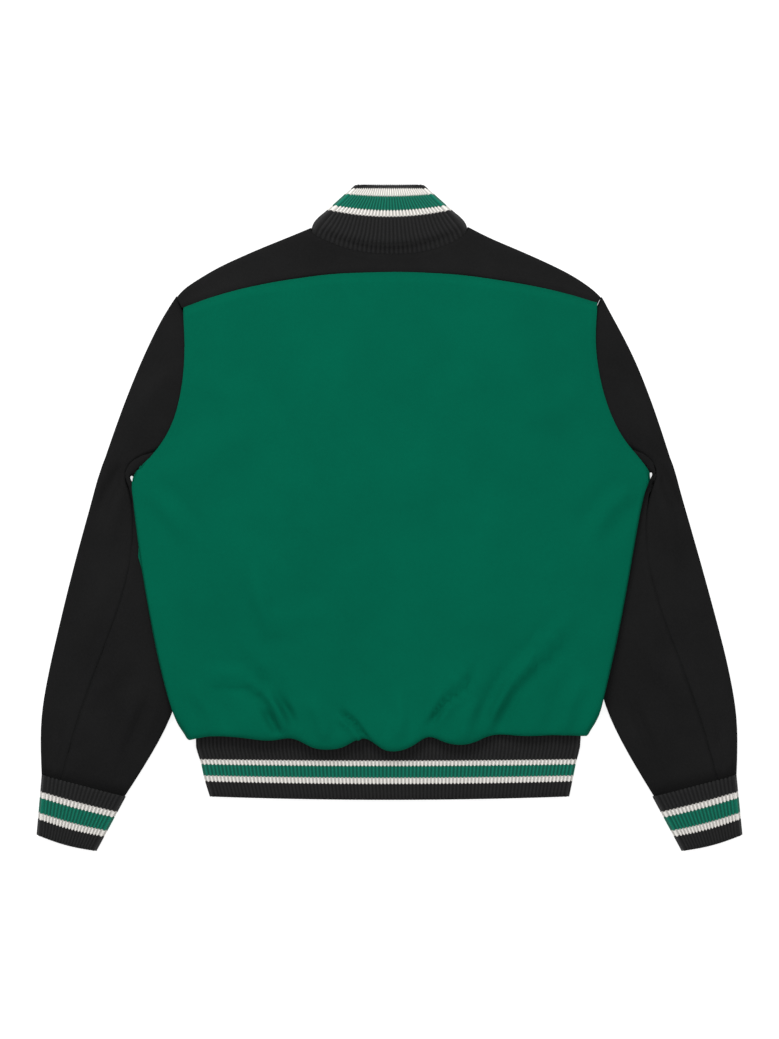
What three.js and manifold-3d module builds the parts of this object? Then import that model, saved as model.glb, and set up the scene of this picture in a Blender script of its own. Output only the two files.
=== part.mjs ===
// Varsity jacket laid on its front on a flat surface, its back up.
// Millimetres, +Z up. +Y points to the collar, and the wearer's left side is at -X.
// Each cut and sewn piece is one closed solid, a wall of cloth with its own thickness.

import * as THREE from 'three';
import Module from 'manifold-3d';
import { mergeVertices } from 'three/addons/utils/BufferGeometryUtils.js';

const wasm = await Module();
wasm.setup();

// Cloth
const woolWall = 3;
const ribWall = 4;
const seamGap = 0.3;
const yokeSeamGap = 0.8;
const sleeveFoldGap = 1.6;
const shoulderFoldGap = 1.2;
const sleeveHeadLap = 6;

// Body, as heights on the centre line
const shoulderEnd = { left: { x: 255, y: 265 }, right: { x: 253.5, y: 264 } };
const underarm = { left: { x: 309, y: 50 }, right: { x: 313.2, y: 54 } };
const hemSeamY = -254.5;
const placketReach = 15;
const placketStep = { start: 38, end: 17 };
const shoulderFoldHeight = { sleeve: 12.6, neck: 17 };
const sideRollRadius = 10;
const sideRollRise = 8;

// Rib knit
const ribRelief = 1.2;
const waistband = { top: -254.8, bottom: -337.8, height: 12.6, ribs: 97, smile: 4 };
const hemUnderside = waistband.height + ribRelief + seamGap;
const cuffRibs = 18;
const cuffHeight = { fold: 11.5, middle: 13 };
const collarRibs = 32;

// Snaps
const snapCap = { radius: 7.5, height: 1.3, bevel: 0.4 };
const snapPocketDepth = 1.7;
const snapSides = 12;
const placketSnapTop = 230;
const placketSnapSpacing = 108;
const placketSnaps = 5;
const waistbandSnapY = -296;

const sign = { left: -1, right: 1 };
const sides = ['left', 'right'];

const wool = { green: 0x01604a, black: 0x1f1f1f };
const finish = {
  greenWool: new THREE.MeshStandardMaterial({ color: wool.green, roughness: 0.95, metalness: 0 }),
  blackWool: new THREE.MeshStandardMaterial({ color: wool.black, roughness: 0.95, metalness: 0 }),
  ribKnit: new THREE.MeshStandardMaterial({ color: 0x252525, roughness: 0.9, metalness: 0 }),
  snapMetal: new THREE.MeshStandardMaterial({ color: 0x141414, roughness: 0.35, metalness: 0.8 }),
};

// Small maths
const lerp = (a, b, t) => a + (b - a) * t;
const mix = (a, b, t) => a.map((value, k) => lerp(value, b[k], t));
const clamp = (value, low, high) => Math.min(high, Math.max(low, value));
const steps = (count) => Array.from({ length: count + 1 }, (_, k) => k / count);

function smoothstep(start, end, value) {
  const t = clamp((value - start) / (end - start), 0, 1);
  return t * t * (3 - 2 * t);
}

// A curve through a short table that never overshoots its rows. It gives every other column
// of the table at a value of the key column.
function smoothTable(key, rows) {
  const sorted = [...rows].sort((a, b) => a[key] - b[key]);
  const keys = sorted.map((row) => row[key]);
  const names = Object.keys(rows[0]).filter((name) => name !== key);
  const slopes = {};
  for (const name of names) {
    const values = sorted.map((row) => row[name]);
    const secants = keys.slice(1).map((at, k) => (values[k + 1] - values[k]) / (at - keys[k]));
    slopes[name] = keys.map((_, k) => {
      if (k === 0) return secants[0];
      if (k === keys.length - 1) return secants[k - 1];
      const before = secants[k - 1];
      const after = secants[k];
      return before * after <= 0 ? 0 : (2 * before * after) / (before + after);
    });
  }
  return (value) => {
    const at = clamp(value, keys[0], keys[keys.length - 1]);
    let k = 0;
    while (k < keys.length - 2 && at > keys[k + 1]) k += 1;
    const width = keys[k + 1] - keys[k];
    const t = (at - keys[k]) / width;
    const result = {};
    for (const name of names) {
      const rise = sorted[k + 1][name] - sorted[k][name];
      const a = slopes[name][k] * width - rise;
      const b = rise - slopes[name][k + 1] * width;
      result[name] = lerp(sorted[k][name], sorted[k + 1][name], t) + t * (1 - t) * (a * (1 - t) + b * t);
    }
    return result;
  };
}

// Outline tables, as distances from the centre line at a height y
const armholeAt = smoothTable('y', [
  { y: 265, left: 255, right: 254 },
  { y: 250, left: 247.8, right: 245.6 },
  { y: 231, left: 245.4, right: 243.6 },
  { y: 203, left: 244.2, right: 245.2 },
  { y: 165, left: 246.6, right: 250.2 },
  { y: 146, left: 249, right: 255 },
  { y: 127, left: 253.2, right: 261 },
  { y: 107, left: 259.8, right: 269.4 },
  { y: 88, left: 268.2, right: 281.4 },
  { y: 69, left: 286.2, right: 298.2 },
  { y: 54, left: 304, right: 313.2 },
  { y: 50, left: 309, right: 317 },
]);

const bodySideAt = smoothTable('y', [
  { y: 54, left: 310, right: 313.2 },
  { y: 50, left: 309, right: 310 },
  { y: 30, left: 307.8, right: 304.2 },
  { y: 11, left: 305.4, right: 300.6 },
  { y: -46, left: 298.2, right: 289.8 },
  { y: -104, left: 288.6, right: 280.2 },
  { y: -161, left: 277.8, right: 268.2 },
  { y: -219, left: 263.4, right: 255 },
  { y: -238, left: 256.2, right: 250 },
  { y: -258, left: 246, right: 240 },
]);

const sleeveOuterAt = smoothTable('y', [
  { y: 265, left: 255, right: 253.5 },
  { y: 242, left: 271.8, right: 267 },
  { y: 203, left: 291, right: 288.6 },
  { y: 165, left: 307.8, right: 305.4 },
  { y: 107, left: 329.4, right: 325.8 },
  { y: 50, left: 348.6, right: 343.8 },
  { y: -8, left: 365.4, right: 360.6 },
  { y: -85, left: 385.8, right: 382.2 },
  { y: -161, left: 403.8, right: 402.6 },
  { y: -219, left: 415.8, right: 414.6 },
  { y: -257, left: 420.6, right: 419.4 },
  { y: -290, left: 422, right: 421.2 },
  { y: -307, left: 417.5, right: 416.5 },
]);

// The sleeve's inner fold, hidden under the body down to a drop of 288 below the underarm
const sleeveFoldAt = smoothTable('drop', [
  { drop: 0, left: 309, right: 313.2 },
  { drop: 1.3, left: 310.5, right: 314.7 },
  { drop: 3.5, left: 311, right: 315.2 },
  { drop: 8, left: 308.6, right: 312.6 },
  { drop: 17, left: 301, right: 304.6 },
  { drop: 35, left: 286, right: 289 },
  { drop: 70, left: 262, right: 264 },
  { drop: 120, left: 243, right: 245 },
  { drop: 160, left: 238, right: 240 },
  { drop: 215, left: 242, right: 243 },
  { drop: 288, left: 257.6, right: 258 },
  { drop: 327, left: 279, right: 278 },
  { drop: 365, left: 301.8, right: 298.4 },
  { drop: 387.3, left: 319, right: 315.5 },
]);


// Height y of the shoulder's edge and of the back yoke seam, by distance from the centre line
const shoulderAt = smoothTable('reach', [
  { reach: 90, left: 349.5, right: 351 },
  { reach: 120, left: 337, right: 335.7 },
  { reach: 150, left: 325, right: 323 },
  { reach: 180, left: 312, right: 309.8 },
  { reach: 205, left: 300.3, right: 298 },
  { reach: 230, left: 285.6, right: 284 },
  { reach: 245, left: 275.3, right: 272.5 },
  { reach: 255, left: 265, right: 263 },
]);

const yokeSeamAt = smoothTable('x', [
  { x: -248, y: 250 },
  { x: -212, y: 263 },
  { x: -172, y: 274 },
  { x: -119, y: 284 },
  { x: -52, y: 291.6 },
  { x: 10, y: 293 },
  { x: 66, y: 291 },
  { x: 145, y: 281 },
  { x: 200, y: 270 },
  { x: 246, y: 257 },
]);

const backNeckAt = smoothTable('x', [
  { x: -96, y: 341 },
  { x: -75, y: 330 },
  { x: -50, y: 320.5 },
  { x: -20, y: 315 },
  { x: 10, y: 314 },
  { x: 45, y: 318 },
  { x: 75, y: 328 },
  { x: 96, y: 340 },
]);

// Top of the body's back on the centre line, and of a sleeve's back
const bodyCrownAt = smoothTable('y', [
  { y: 320, height: 17 },
  { y: 290, height: 19.5 },
  { y: 200, height: 22 },
  { y: -256, height: 22.5 },
]);

const sleeveCrownAt = smoothTable('y', [
  { y: 265, height: 11 },
  { y: 200, height: 13.5 },
  { y: 120, height: 13 },
  { y: 80, height: 9.6 },
  { y: 50, height: 6.6 },
  { y: 20, height: 8.4 },
  { y: -40, height: 12 },
  { y: -110, height: 14 },
  { y: -333, height: 14.5 },
]);

// How far the back blouses over the waistband, below the hem seam: three lobes between four
// pinches near the middle, and a shallow roll at each side
const blouseAt = smoothTable('x', [
  { x: -240, reach: 13 },
  { x: -213, reach: 7 },
  { x: -184, reach: 8.5 },
  { x: -140, reach: 13.5 },
  { x: -117, reach: 8 },
  { x: -90, reach: 23 },
  { x: -69, reach: 24 },
  { x: -47, reach: 18 },
  { x: -30, reach: 4.6 },
  { x: -11, reach: 24.5 },
  { x: 8, reach: 26.5 },
  { x: 32, reach: 17 },
  { x: 46, reach: 4.5 },
  { x: 66, reach: 16 },
  { x: 87, reach: 18.5 },
  { x: 108, reach: 13 },
  { x: 122, reach: 4.4 },
  { x: 165, reach: 7.5 },
  { x: 200, reach: 5.8 },
  { x: 240, reach: 8 },
]);

// Large soft folds on the back: a line from start to end, its half width and its height
const backFolds = [
  { startX: -62, startY: -232, endX: -30, endY: -262, width: 7, height: -3.5 },
  { startX: 46, startY: -256, endX: 107, endY: -170, width: 9, height: -4 },
  { startX: 116, startY: -262, endX: 226, endY: -116, width: 10, height: 3 },
  { startX: 150, startY: -250, endX: 252, endY: -130, width: 12, height: -2.5 },
  { startX: 96, startY: -236, endX: 196, endY: -100, width: 10, height: -2 },
  { startX: -119, startY: -262, endX: -176, endY: -186, width: 8, height: 2.5 },
  { startX: -112, startY: -250, endX: -182, endY: -172, width: 9, height: -2.5 },
  { startX: -163, startY: -60, endX: -142, endY: -130, width: 14, height: 1.5 },
  { startX: -142, startY: -130, endX: -68, endY: -118, width: 14, height: 1.5 },
];

// Large soft folds on each sleeve's back, mirrored from one side to the other
const sleeveFolds = [
  { startX: 288, startY: -220, endX: 318, endY: -292, width: 12, height: -2 },
  { startX: 330, startY: 60, endX: 352, endY: -60, width: 10, height: -1.2 },
  { startX: 350, startY: -250, endX: 410, endY: -285, width: 9, height: -1.6 },
];

function foldRelief(folds, x, y) {
  let relief = 0;
  for (const fold of folds) {
    const along = new THREE.Vector2(fold.endX - fold.startX, fold.endY - fold.startY);
    const from = new THREE.Vector2(x - fold.startX, y - fold.startY);
    const t = from.dot(along) / along.lengthSq();
    const away = Math.abs(from.cross(along)) / along.length();
    const taper = smoothstep(-0.15, 0.2, t) * (1 - smoothstep(0.7, 1.15, t));
    relief += fold.height * taper * Math.exp(-((away / fold.width) ** 2));
  }
  return relief;
}

// Points of the outline, with x signed
function armholePoint(side, w) {
  const y = lerp(shoulderEnd[side].y, underarm[side].y, w);
  return [sign[side] * armholeAt(y)[side], y];
}

function bodySidePoint(side, y) {
  return [sign[side] * bodySideAt(y)[side], y];
}

function sleeveFoldReach(side, y) {
  return sleeveFoldAt(underarm[side].y - y)[side];
}

// Where a sleeve lies under the body, the front panel is lifted over it. The lift falls to
// the surface inside a ramp beside the sleeve's inner fold.
const liftRamp = { start: 6, end: 30 };
const liftClearance = 0.9;
const innerFoldLine = Object.fromEntries(sides.map((side) => [
  side,
  steps(40).map((t) => {
    const y = lerp(underarm[side].y, -333, t);
    return new THREE.Vector2(sign[side] * sleeveFoldReach(side, y), y);
  }),
]));

function frontLift(side, x, y) {
  const line = innerFoldLine[side];
  const point = new THREE.Vector2(x, y);
  let nearest = Infinity;
  for (let k = 0; k + 1 < line.length; k += 1) {
    const along = line[k + 1].clone().sub(line[k]);
    const from = point.clone().sub(line[k]);
    const t = clamp(from.dot(along) / along.lengthSq(), 0, 1);
    nearest = Math.min(nearest, from.distanceTo(along.multiplyScalar(t)));
  }
  const inside = y < underarm[side].y && Math.abs(x) > sleeveFoldReach(side, y);
  const away = inside ? 0 : nearest;
  const height = sleeveCrownAt(y).height + liftClearance;
  const aboveHem = smoothstep(hemSeamY + 3, hemSeamY + 17, y);
  return height * aboveHem * (1 - smoothstep(liftRamp.start, liftRamp.end, away));
}

// A closed wall of cloth from a grid of outer points, columns by rows. The inner points lie
// one thickness behind, along the grid's normals or straight up, or behind a plain base grid
// under a relief.
// A cell that covers() turns down is left open, and every open edge is closed by an end face.
function clothWall(outer, { thickness, inward = 1, base = outer, covers = () => true, upright = false }) {
  const columns = outer.length;
  const rows = outer[0].length;
  const used = (i, j) => i >= 0 && j >= 0 && i < columns - 1 && j < rows - 1 && covers(i, j);
  const touches = (i, j) => used(i, j) || used(i - 1, j) || used(i, j - 1) || used(i - 1, j - 1);
  const pick = (i, j) => (i >= 0 && j >= 0 && i < columns && j < rows && touches(i, j) ? base[i][j] : null);

  function innerPoint(i, j) {
    const here = new THREE.Vector3(...base[i][j]);
    if (upright) return here.add(new THREE.Vector3(0, 0, thickness));
    const alongColumn = new THREE.Vector3(...(pick(i + 1, j) ?? base[i][j]));
    alongColumn.sub(new THREE.Vector3(...(pick(i - 1, j) ?? base[i][j])));
    const alongRow = new THREE.Vector3(...(pick(i, j + 1) ?? base[i][j]));
    alongRow.sub(new THREE.Vector3(...(pick(i, j - 1) ?? base[i][j])));
    const normal = alongColumn.cross(alongRow).normalize().multiplyScalar(thickness * inward);
    if (here.z + normal.z < 0) normal.set(0, 0, thickness);
    return here.add(normal);
  }

  const positions = [];
  const outerIndex = new Map();
  const innerIndex = new Map();
  for (let i = 0; i < columns; i += 1) {
    for (let j = 0; j < rows; j += 1) {
      if (!touches(i, j)) continue;
      outerIndex.set(i * rows + j, positions.length / 3);
      positions.push(...outer[i][j]);
      innerIndex.set(i * rows + j, positions.length / 3);
      positions.push(...innerPoint(i, j).toArray());
    }
  }

  const triangles = [];
  for (let i = 0; i < columns - 1; i += 1) {
    for (let j = 0; j < rows - 1; j += 1) {
      if (!used(i, j)) continue;
      const corners = [[i, j], [i + 1, j], [i + 1, j + 1], [i, j + 1]].map(([a, b]) => a * rows + b);
      const [a, b, c, d] = corners.map((corner) => outerIndex.get(corner));
      const [e, f, g, h] = corners.map((corner) => innerIndex.get(corner));
      triangles.push(a, b, c, a, c, d, e, g, f, e, h, g);
      const open = [!used(i, j - 1), !used(i + 1, j), !used(i, j + 1), !used(i - 1, j)];
      const rims = [[b, a, e, f], [c, b, f, g], [d, c, g, h], [a, d, h, e]];
      rims.forEach(([p, q, r, s], k) => {
        if (open[k]) triangles.push(p, q, r, p, r, s);
      });
    }
  }
  return closedGeometry(positions, triangles);
}

// A mesh geometry whose faces point out
function closedGeometry(positions, triangles) {
  const corner = (k) => new THREE.Vector3().fromArray(positions, 3 * k);
  let volume = 0;
  for (let k = 0; k < triangles.length; k += 3) {
    const [a, b, c] = [0, 1, 2].map((n) => corner(triangles[k + n]));
    volume += a.dot(b.cross(c));
  }
  const facing = volume > 0 ? triangles : [...triangles].reverse();
  const geometry = new THREE.BufferGeometry();
  geometry.setAttribute('position', new THREE.Float32BufferAttribute(positions, 3));
  geometry.setIndex(facing);
  return geometry;
}

// Points round a fold, from the top layer to the bottom one: how far in from the fold's
// outermost line, and how high
function foldArc(base, height, count) {
  const radius = (height - base) / 2;
  return steps(count).map((t) => {
    const angle = Math.PI * (0.5 - t);
    return { inset: radius * (1 - Math.cos(angle)), z: base + radius * (1 + Math.sin(angle)) };
  });
}

// Stations down the front armhole, from the front yoke seam to the underarm
const frontArmholeAcross = [0.186, 0.37, 0.56, 0.72, 0.84, 0.93, 1];

// Sleeves. A row runs from the outer fold to the inner one, through the outline at fractions
// of both edges, and keeps some of the armhole's curve. Rows fan round the underarm point.
// backSeam is the back seam's place across the row, from the outer fold.
const sleeveEnd = { outerY: -306.9, innerY: -333.3 };
const sleeveRows = [
  { outer: 0, inner: 0, armhole: 1, outerHeight: 9, innerHeight: 6.4, backSeam: 0.86 },
  { outer: 0.044, inner: 0.0008, armhole: 0.94, outerHeight: 9, innerHeight: 6.4, backSeam: 0.85 },
  { outer: 0.105, inner: 0.0016, armhole: 0.8, outerHeight: 9, innerHeight: 6.4, backSeam: 0.84 },
  { outer: 0.175, inner: 0.0024, armhole: 0.6, outerHeight: 9, innerHeight: 6.4, backSeam: 0.83 },
  { outer: 0.245, inner: 0.0034, armhole: 0.4, outerHeight: 9, innerHeight: 6.4, backSeam: 0.81 },
  { outer: 0.306, inner: 0.005, armhole: 0.2, outerHeight: 9, innerHeight: 6.4, backSeam: 0.79 },
  { outer: 0.367, inner: 0.014, armhole: 0.05, outerHeight: 9, innerHeight: 6.5, backSeam: 0.79 },
  { outer: 0.437, inner: 0.05, armhole: 0, outerHeight: 9.2, innerHeight: 7.2, backSeam: 0.83 },
  { outer: 0.534, inner: 0.17, armhole: 0, outerHeight: 9.5, innerHeight: 8.6, backSeam: 0.64 },
  { outer: 0.639, inner: 0.37, armhole: 0, outerHeight: 10, innerHeight: 9.5, backSeam: 0.473 },
  { outer: 0.735, inner: 0.55, armhole: 0, outerHeight: 10, innerHeight: 10, backSeam: 0.37 },
  { outer: 0.822, inner: 0.69, armhole: 0, outerHeight: 10.5, innerHeight: 10.5, backSeam: 0.318 },
  { outer: 0.9, inner: 0.82, armhole: 0, outerHeight: 11, innerHeight: 11, backSeam: 0.284 },
  { outer: 1, inner: 1, armhole: 0, outerHeight: 12.5, innerHeight: 12.5, backSeam: 0.237 },
];

const frontSeamAcross = 0.84;
const topColumns = { upper: 5, under: 4 };
const bottomAcross = { upper: [0.09, 0.186, 0.37, 0.56, 0.72, 0.84], under: [0.84, 0.93] };
const foldSteps = 4;

function sleevePlan(side, row, across) {
  const outerY = lerp(shoulderEnd[side].y, sleeveEnd.outerY, row.outer);
  const innerY = lerp(underarm[side].y, sleeveEnd.innerY, row.inner);
  const outer = [sign[side] * sleeveOuterAt(outerY)[side], outerY];
  const inner = [sign[side] * sleeveFoldReach(side, innerY), innerY];
  const armhole = armholePoint(side, across);
  const chord = mix(armholePoint(side, 0), armholePoint(side, 1), across);
  const kept = row.armhole ** (1 + 6 * across ** 2);
  return mix(outer, inner, across).map((value, k) => value + kept * (armhole[k] - chord[k]));
}

function sleeveTop(side, row, across, x, y) {
  const flat = lerp(row.outerHeight, row.innerHeight, across);
  const arch = Math.max(0, sleeveCrownAt(y).height - flat) * Math.sin(Math.PI * across) ** 0.7;
  return flat + arch + foldRelief(sleeveFolds, Math.abs(x), y) * Math.sin(Math.PI * across);
}

// One row of sleeve points at a list of places: top layer, round a fold, and bottom layer
function sleevePoint(side, row, place) {
  const [x, y] = sleevePlan(side, row, place.across);
  if (place.layer === 'top') {
    const head = row.outer === 0;
    const lapped = smoothstep(0, 0.15, place.across) * (1 - smoothstep(0.72, 0.86, place.across));
    const lap = head ? sleeveHeadLap * lapped - smoothstep(0.75, 0.9, place.across) : 0;
    return [x - sign[side] * lap, y, sleeveTop(side, row, place.across, x, y)];
  }
  const nearUnderarm = lerp(seamGap, sleeveFoldGap, smoothstep(0.7, 0.95, place.across));
  const gap = place.layer === 'fold' && place.across < 0.5 ? shoulderFoldGap : nearUnderarm;
  return [x + (row.outer === 0 ? sign[side] * gap : 0), y, place.z ?? 0];
}

function sleeveWidth(side, row) {
  const [a, b] = [sleevePlan(side, row, 0), sleevePlan(side, row, 1)];
  return Math.hypot(a[0] - b[0], a[1] - b[1]);
}

function sleevePlaces(side, row, piece) {
  const width = sleeveWidth(side, row);
  const seam = row.backSeam;
  const halfGap = lerp(1.4, seamGap / 2, smoothstep(50, 110, width)) / width;
  if (piece === 'upper') {
    const arc = foldArc(0, row.outerHeight, foldSteps);
    const start = arc[0].inset / width;
    const top = steps(topColumns.upper).slice(0, -1).map((t) => ({ layer: 'top', across: lerp(seam - halfGap, start, t) }));
    const fold = arc.map(({ inset, z }) => ({ layer: 'fold', across: inset / width, z }));
    const bottom = bottomAcross.upper.map((across) => ({ layer: 'bottom', across }));
    bottom[bottom.length - 1].across -= halfGap;
    return [...top, ...fold, ...bottom];
  }
  const arc = foldArc(0, row.innerHeight, foldSteps).reverse();
  const end = 1 - arc[0].inset / width;
  const bottom = bottomAcross.under.map((across) => ({ layer: 'bottom', across }));
  bottom[0].across += halfGap;
  const fold = arc.map(({ inset, z }) => ({ layer: 'fold', across: 1 - inset / width, z }));
  const top = steps(topColumns.under).slice(1).map((t) => ({ layer: 'top', across: lerp(end, seam + halfGap, t) }));
  return [...bottom, ...fold, ...top];
}

function sleevePiece(side, piece) {
  const byRow = sleeveRows.map((row) => (
    sleevePlaces(side, row, piece).map((place) => sleevePoint(side, row, place))
  ));
  const grid = byRow[0].map((_, i) => byRow.map((row) => row[i]));
  return clothWall(grid, { thickness: woolWall, inward: sign[side] });
}

// Back panel. Its columns stand at set distances from each edge and evenly between, and the
// yoke shares them. Beside the armhole it lies over the sleeve's head; below the underarm its
// sides roll down to the front panel; at the hem it turns under, round a blouse.
const sideColumns = [
  { flatInset: 0, rollInset: 0, rise: 0 },
  { flatInset: 2, rollInset: 0, rise: 0.33 },
  { flatInset: 5, rollInset: 0.134, rise: 0.67 },
  { flatInset: 9, rollInset: 0.5, rise: 0.91 },
  { flatInset: 14, rollInset: 1, rise: 1 },
];
const middleSpans = 33;
const neckColumn = { left: 10, right: 23 };
const edgeRise = 75;
const backArmholeRows = [0, 0.22, 0.44, 0.66, 0.85, 1];
const bodySideRows = [25, -10, -60, -115, -170, -216];
const lastBodySideRow = bodySideRows[bodySideRows.length - 1];
const toHemRows = [0.4, 0.75];
const hemArcSteps = 4;
const underarmOverhang = 2.6;

function columnPlaces() {
  const left = sideColumns.map((column, k) => ({ side: 'left', column, k, across: 0 }));
  const middle = steps(middleSpans).slice(1, -1).map((across) => ({ across }));
  const right = [...sideColumns].reverse().map((column) => ({ side: 'right', column, across: 1 }));
  return [...left, ...middle, ...right];
}

function blouse(x) {
  const { reach } = blouseAt(x);
  const radius = clamp(reach - 0.8, 3.6, 8);
  return { reach, radius, startY: hemSeamY - reach + radius, top: hemUnderside + 2 * radius };
}

// A row of the back panel: its edge points, how far the sides have rolled down, and where it
// stands in the turn of the hem
function backRows() {
  const rows = [];
  for (const f of backArmholeRows) {
    const edge = (side) => {
      const yokeCorner = side === 'left' ? yokeSeamAt(-248).y : yokeSeamAt(246).y;
      const y = lerp(yokeCorner, underarm[side].y, f);
      return [sign[side] * (armholeAt(y)[side] + underarmOverhang * smoothstep(0.6, 1, f)), y];
    };
    rows.push({ edge, roll: 0, crownFade: 1 - 0.75 * f });
  }
  for (const y of bodySideRows) {
    rows.push({ edge: (side) => bodySidePoint(side, y), roll: smoothstep(70, 0, y), crownFade: 0.25 * smoothstep(-150, 50, y) });
  }
  for (const f of toHemRows) {
    rows.push({ edge: (side) => bodySidePoint(side, lerp(lastBodySideRow, hemSeamY, f)), roll: 1, toHem: f });
  }
  for (const t of steps(hemArcSteps)) rows.push({ turn: Math.PI * (0.5 - t), roll: 1 });
  rows.push({ turn: -Math.PI / 2, tail: true, roll: 1 });
  return rows;
}

const hemEdgeX = {
  left: { outside: 245, inside: 232.3 },
  right: { outside: 240, inside: 229.6 },
};

function hemRowEdge(side, row) {
  const folded = (1 - Math.sin(row.turn)) / 2;
  return sign[side] * lerp(hemEdgeX[side].outside, hemEdgeX[side].inside, folded);
}

function bodyTop(y, inset, edgeHeight) {
  const crown = bodyCrownAt(y).height;
  const away = 1 - clamp(inset / edgeRise, 0, 1);
  return lerp(crown, edgeHeight, away * away);
}

function sleeveHeadTop(side, y) {
  const across = (shoulderEnd[side].y - y) / (shoulderEnd[side].y - underarm[side].y);
  const [x] = armholePoint(side, across);
  return sleeveTop(side, sleeveRows[0], clamp(across, 0, 1), x, y);
}

// The top of the body's edge: over the sleeve's head, or over the rolled side
function bodyEdgeTop(side, x, y, roll) {
  const overHead = sleeveHeadTop(side, Math.max(y, underarm[side].y)) + seamGap + woolWall + 0.1;
  const overFront = frontLift(side, x, Math.max(y, underarm[side].y)) + 2 * (seamGap + woolWall);
  const overSleeve = Math.max(overHead, overFront);
  const rolled = frontLift(side, x, y) + woolWall + 2 * seamGap + sideRollRise;
  return lerp(overSleeve, rolled, roll);
}

function rimHeight(side, x, y, roll) {
  const rim = frontLift(side, x, y) + woolWall + 3 * seamGap + (1 - roll) * woolWall;
  return lerp(bodyEdgeTop(side, x, y, 0), rim, roll);
}

function backPoint(place, row, topShape) {
  const turned = row.turn !== undefined;
  const ends = sides.map((side) => (turned ? [hemRowEdge(side, row), hemSeamY] : row.edge(side)));
  const radius = turned ? lerp(sideRollRadius, 7.2, (1 - Math.sin(row.turn)) / 2) : sideRollRadius;
  const insetOf = ({ flatInset, rollInset }) => lerp(flatInset, rollInset * radius, row.roll);
  const span = insetOf(sideColumns[sideColumns.length - 1]);
  let x;
  if (place.side) {
    const end = place.side === 'left' ? ends[0] : ends[1];
    x = end[0] - sign[place.side] * insetOf(place.column);
  } else {
    x = lerp(ends[0][0] + span, ends[1][0] - span, place.across);
  }
  const across = (x - ends[0][0]) / (ends[1][0] - ends[0][0]);
  const nearSide = x < 0 ? 'left' : 'right';
  const end = x < 0 ? ends[0] : ends[1];
  const inset = Math.abs(end[0] - x);
  const hem = blouse(x);

  let y = lerp(ends[0][1], ends[1][1], across) + (row.crownFade ?? 0) * topShape(across);
  if (row.toHem !== undefined) {
    y = lerp(lastBodySideRow, hem.startY, row.toHem);
  }
  if (turned) {
    y = row.tail ? hemSeamY : hem.startY - hem.radius * Math.cos(row.turn);
  }

  const edgeTop = bodyEdgeTop(nearSide, end[0], turned ? hem.startY : end[1], row.roll);
  const soft = bodyTop(y, inset, edgeTop) + foldRelief(backFolds, x, y);
  const hemLift = smoothstep(hem.startY + 80, hem.startY, y);
  let z = lerp(soft, hem.top, turned ? 1 : hemLift);
  if (turned) z = hemUnderside + hem.radius * (1 + Math.sin(row.turn));

  if (place.side) {
    const rimAt = turned ? y : end[1];
    const rim = rimHeight(place.side, end[0], rimAt, row.roll);
    const rolled = lerp(rim, z, place.column.rise);
    z = lerp(z, rolled, row.roll);
  }
  return [x, y, z];
}

function yokeSeamShape() {
  const [a, b] = [[-armholeAt(250)['left'], yokeSeamAt(-248).y], [armholeAt(257)['right'], yokeSeamAt(246).y]];
  return (across) => yokeSeamAt(lerp(a[0], b[0], across)).y - lerp(a[1], b[1], across);
}

const topShape = yokeSeamShape();
const backPlaces = columnPlaces();
const backGrid = backPlaces.map((place) => backRows().map((row) => backPoint(place, row, topShape)));

// Yoke. A column runs from the back seam up to the shoulder's edge, round it and down the
// front. Between the neck columns it stops at the back neck.
const yokeBackSteps = 4;
const yokeFrontDepths = [0.47, 1];
const neckCornerReach = 94;
const isNeck = (i) => i > 3 + neckColumn.left + 1 && i < 3 + neckColumn.right + 1;

function yokeColumn(i) {
  const seam = backGrid[i][0];
  const side = seam[0] < 0 ? 'left' : 'right';
  const start = [seam[0], seam[1] + yokeSeamGap];
  const outerReach = shoulderEnd[side].x;
  const seamReach = Math.abs(backGrid[side === 'left' ? 0 : backGrid.length - 1][0][0]);
  const topX = (seam[0] * outerReach) / seamReach;
  if (isNeck(i)) {
    const end = [seam[0], backNeckAt(seam[0]).y];
    const path = steps(yokeBackSteps).map((t) => [...mix(start, end, t), lerp(seam[2], shoulderFoldHeight.neck, t)]);
    const rest = foldSteps + yokeFrontDepths.length;
    return [...path, ...Array(rest).fill(path[path.length - 1])];
  }
  const edge = [topX, shoulderAt(Math.abs(topX))[side]];
  const nearNeck = 1 - smoothstep(93, 255, Math.abs(topX));
  const height = lerp(shoulderFoldHeight.sleeve, shoulderFoldHeight.neck, nearNeck);
  const length = Math.hypot(start[0] - edge[0], start[1] - edge[1]);
  const along = [(start[0] - edge[0]) / length, (start[1] - edge[1]) / length];
  const arc = foldArc(0, height, foldSteps);
  const rolledEnd = arc[0].inset;
  const back = steps(yokeBackSteps).slice(0, -1).map((t) => {
    const depth = lerp(length, rolledEnd, t);
    return [edge[0] + along[0] * depth, edge[1] + along[1] * depth, lerp(seam[2], height, smoothstep(0, 1, t))];
  });
  const fold = arc.map(({ inset, z }) => [edge[0] + along[0] * inset, edge[1] + along[1] * inset, z]);
  const armholeSide = 1 - smoothstep(0, 60, outerReach - Math.abs(topX));
  const neckSide = 1 - smoothstep(0, 60, Math.abs(topX) - neckCornerReach);
  const front = yokeFrontDepths.map((part) => {
    const drop = (shoulderEnd[side].y - armholePoint(side, frontArmholeAcross[0])[1]) * part;
    const y = edge[1] - drop;
    const toArmhole = armholeAt(shoulderEnd[side].y - drop)[side] - outerReach;
    const toNeck = frontNeckReach(y) - neckCornerReach;
    return [edge[0] + sign[side] * (armholeSide * toArmhole + neckSide * toNeck), y, 0];
  });
  return [...back, ...fold, ...front];
}

// The front neckline, a quarter round from the shoulder's edge down to the centre front
const frontNeck = { startReach: 95.5, startY: 346, controlReach: 91.5, controlY: 262, endY: 250 };

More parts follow.
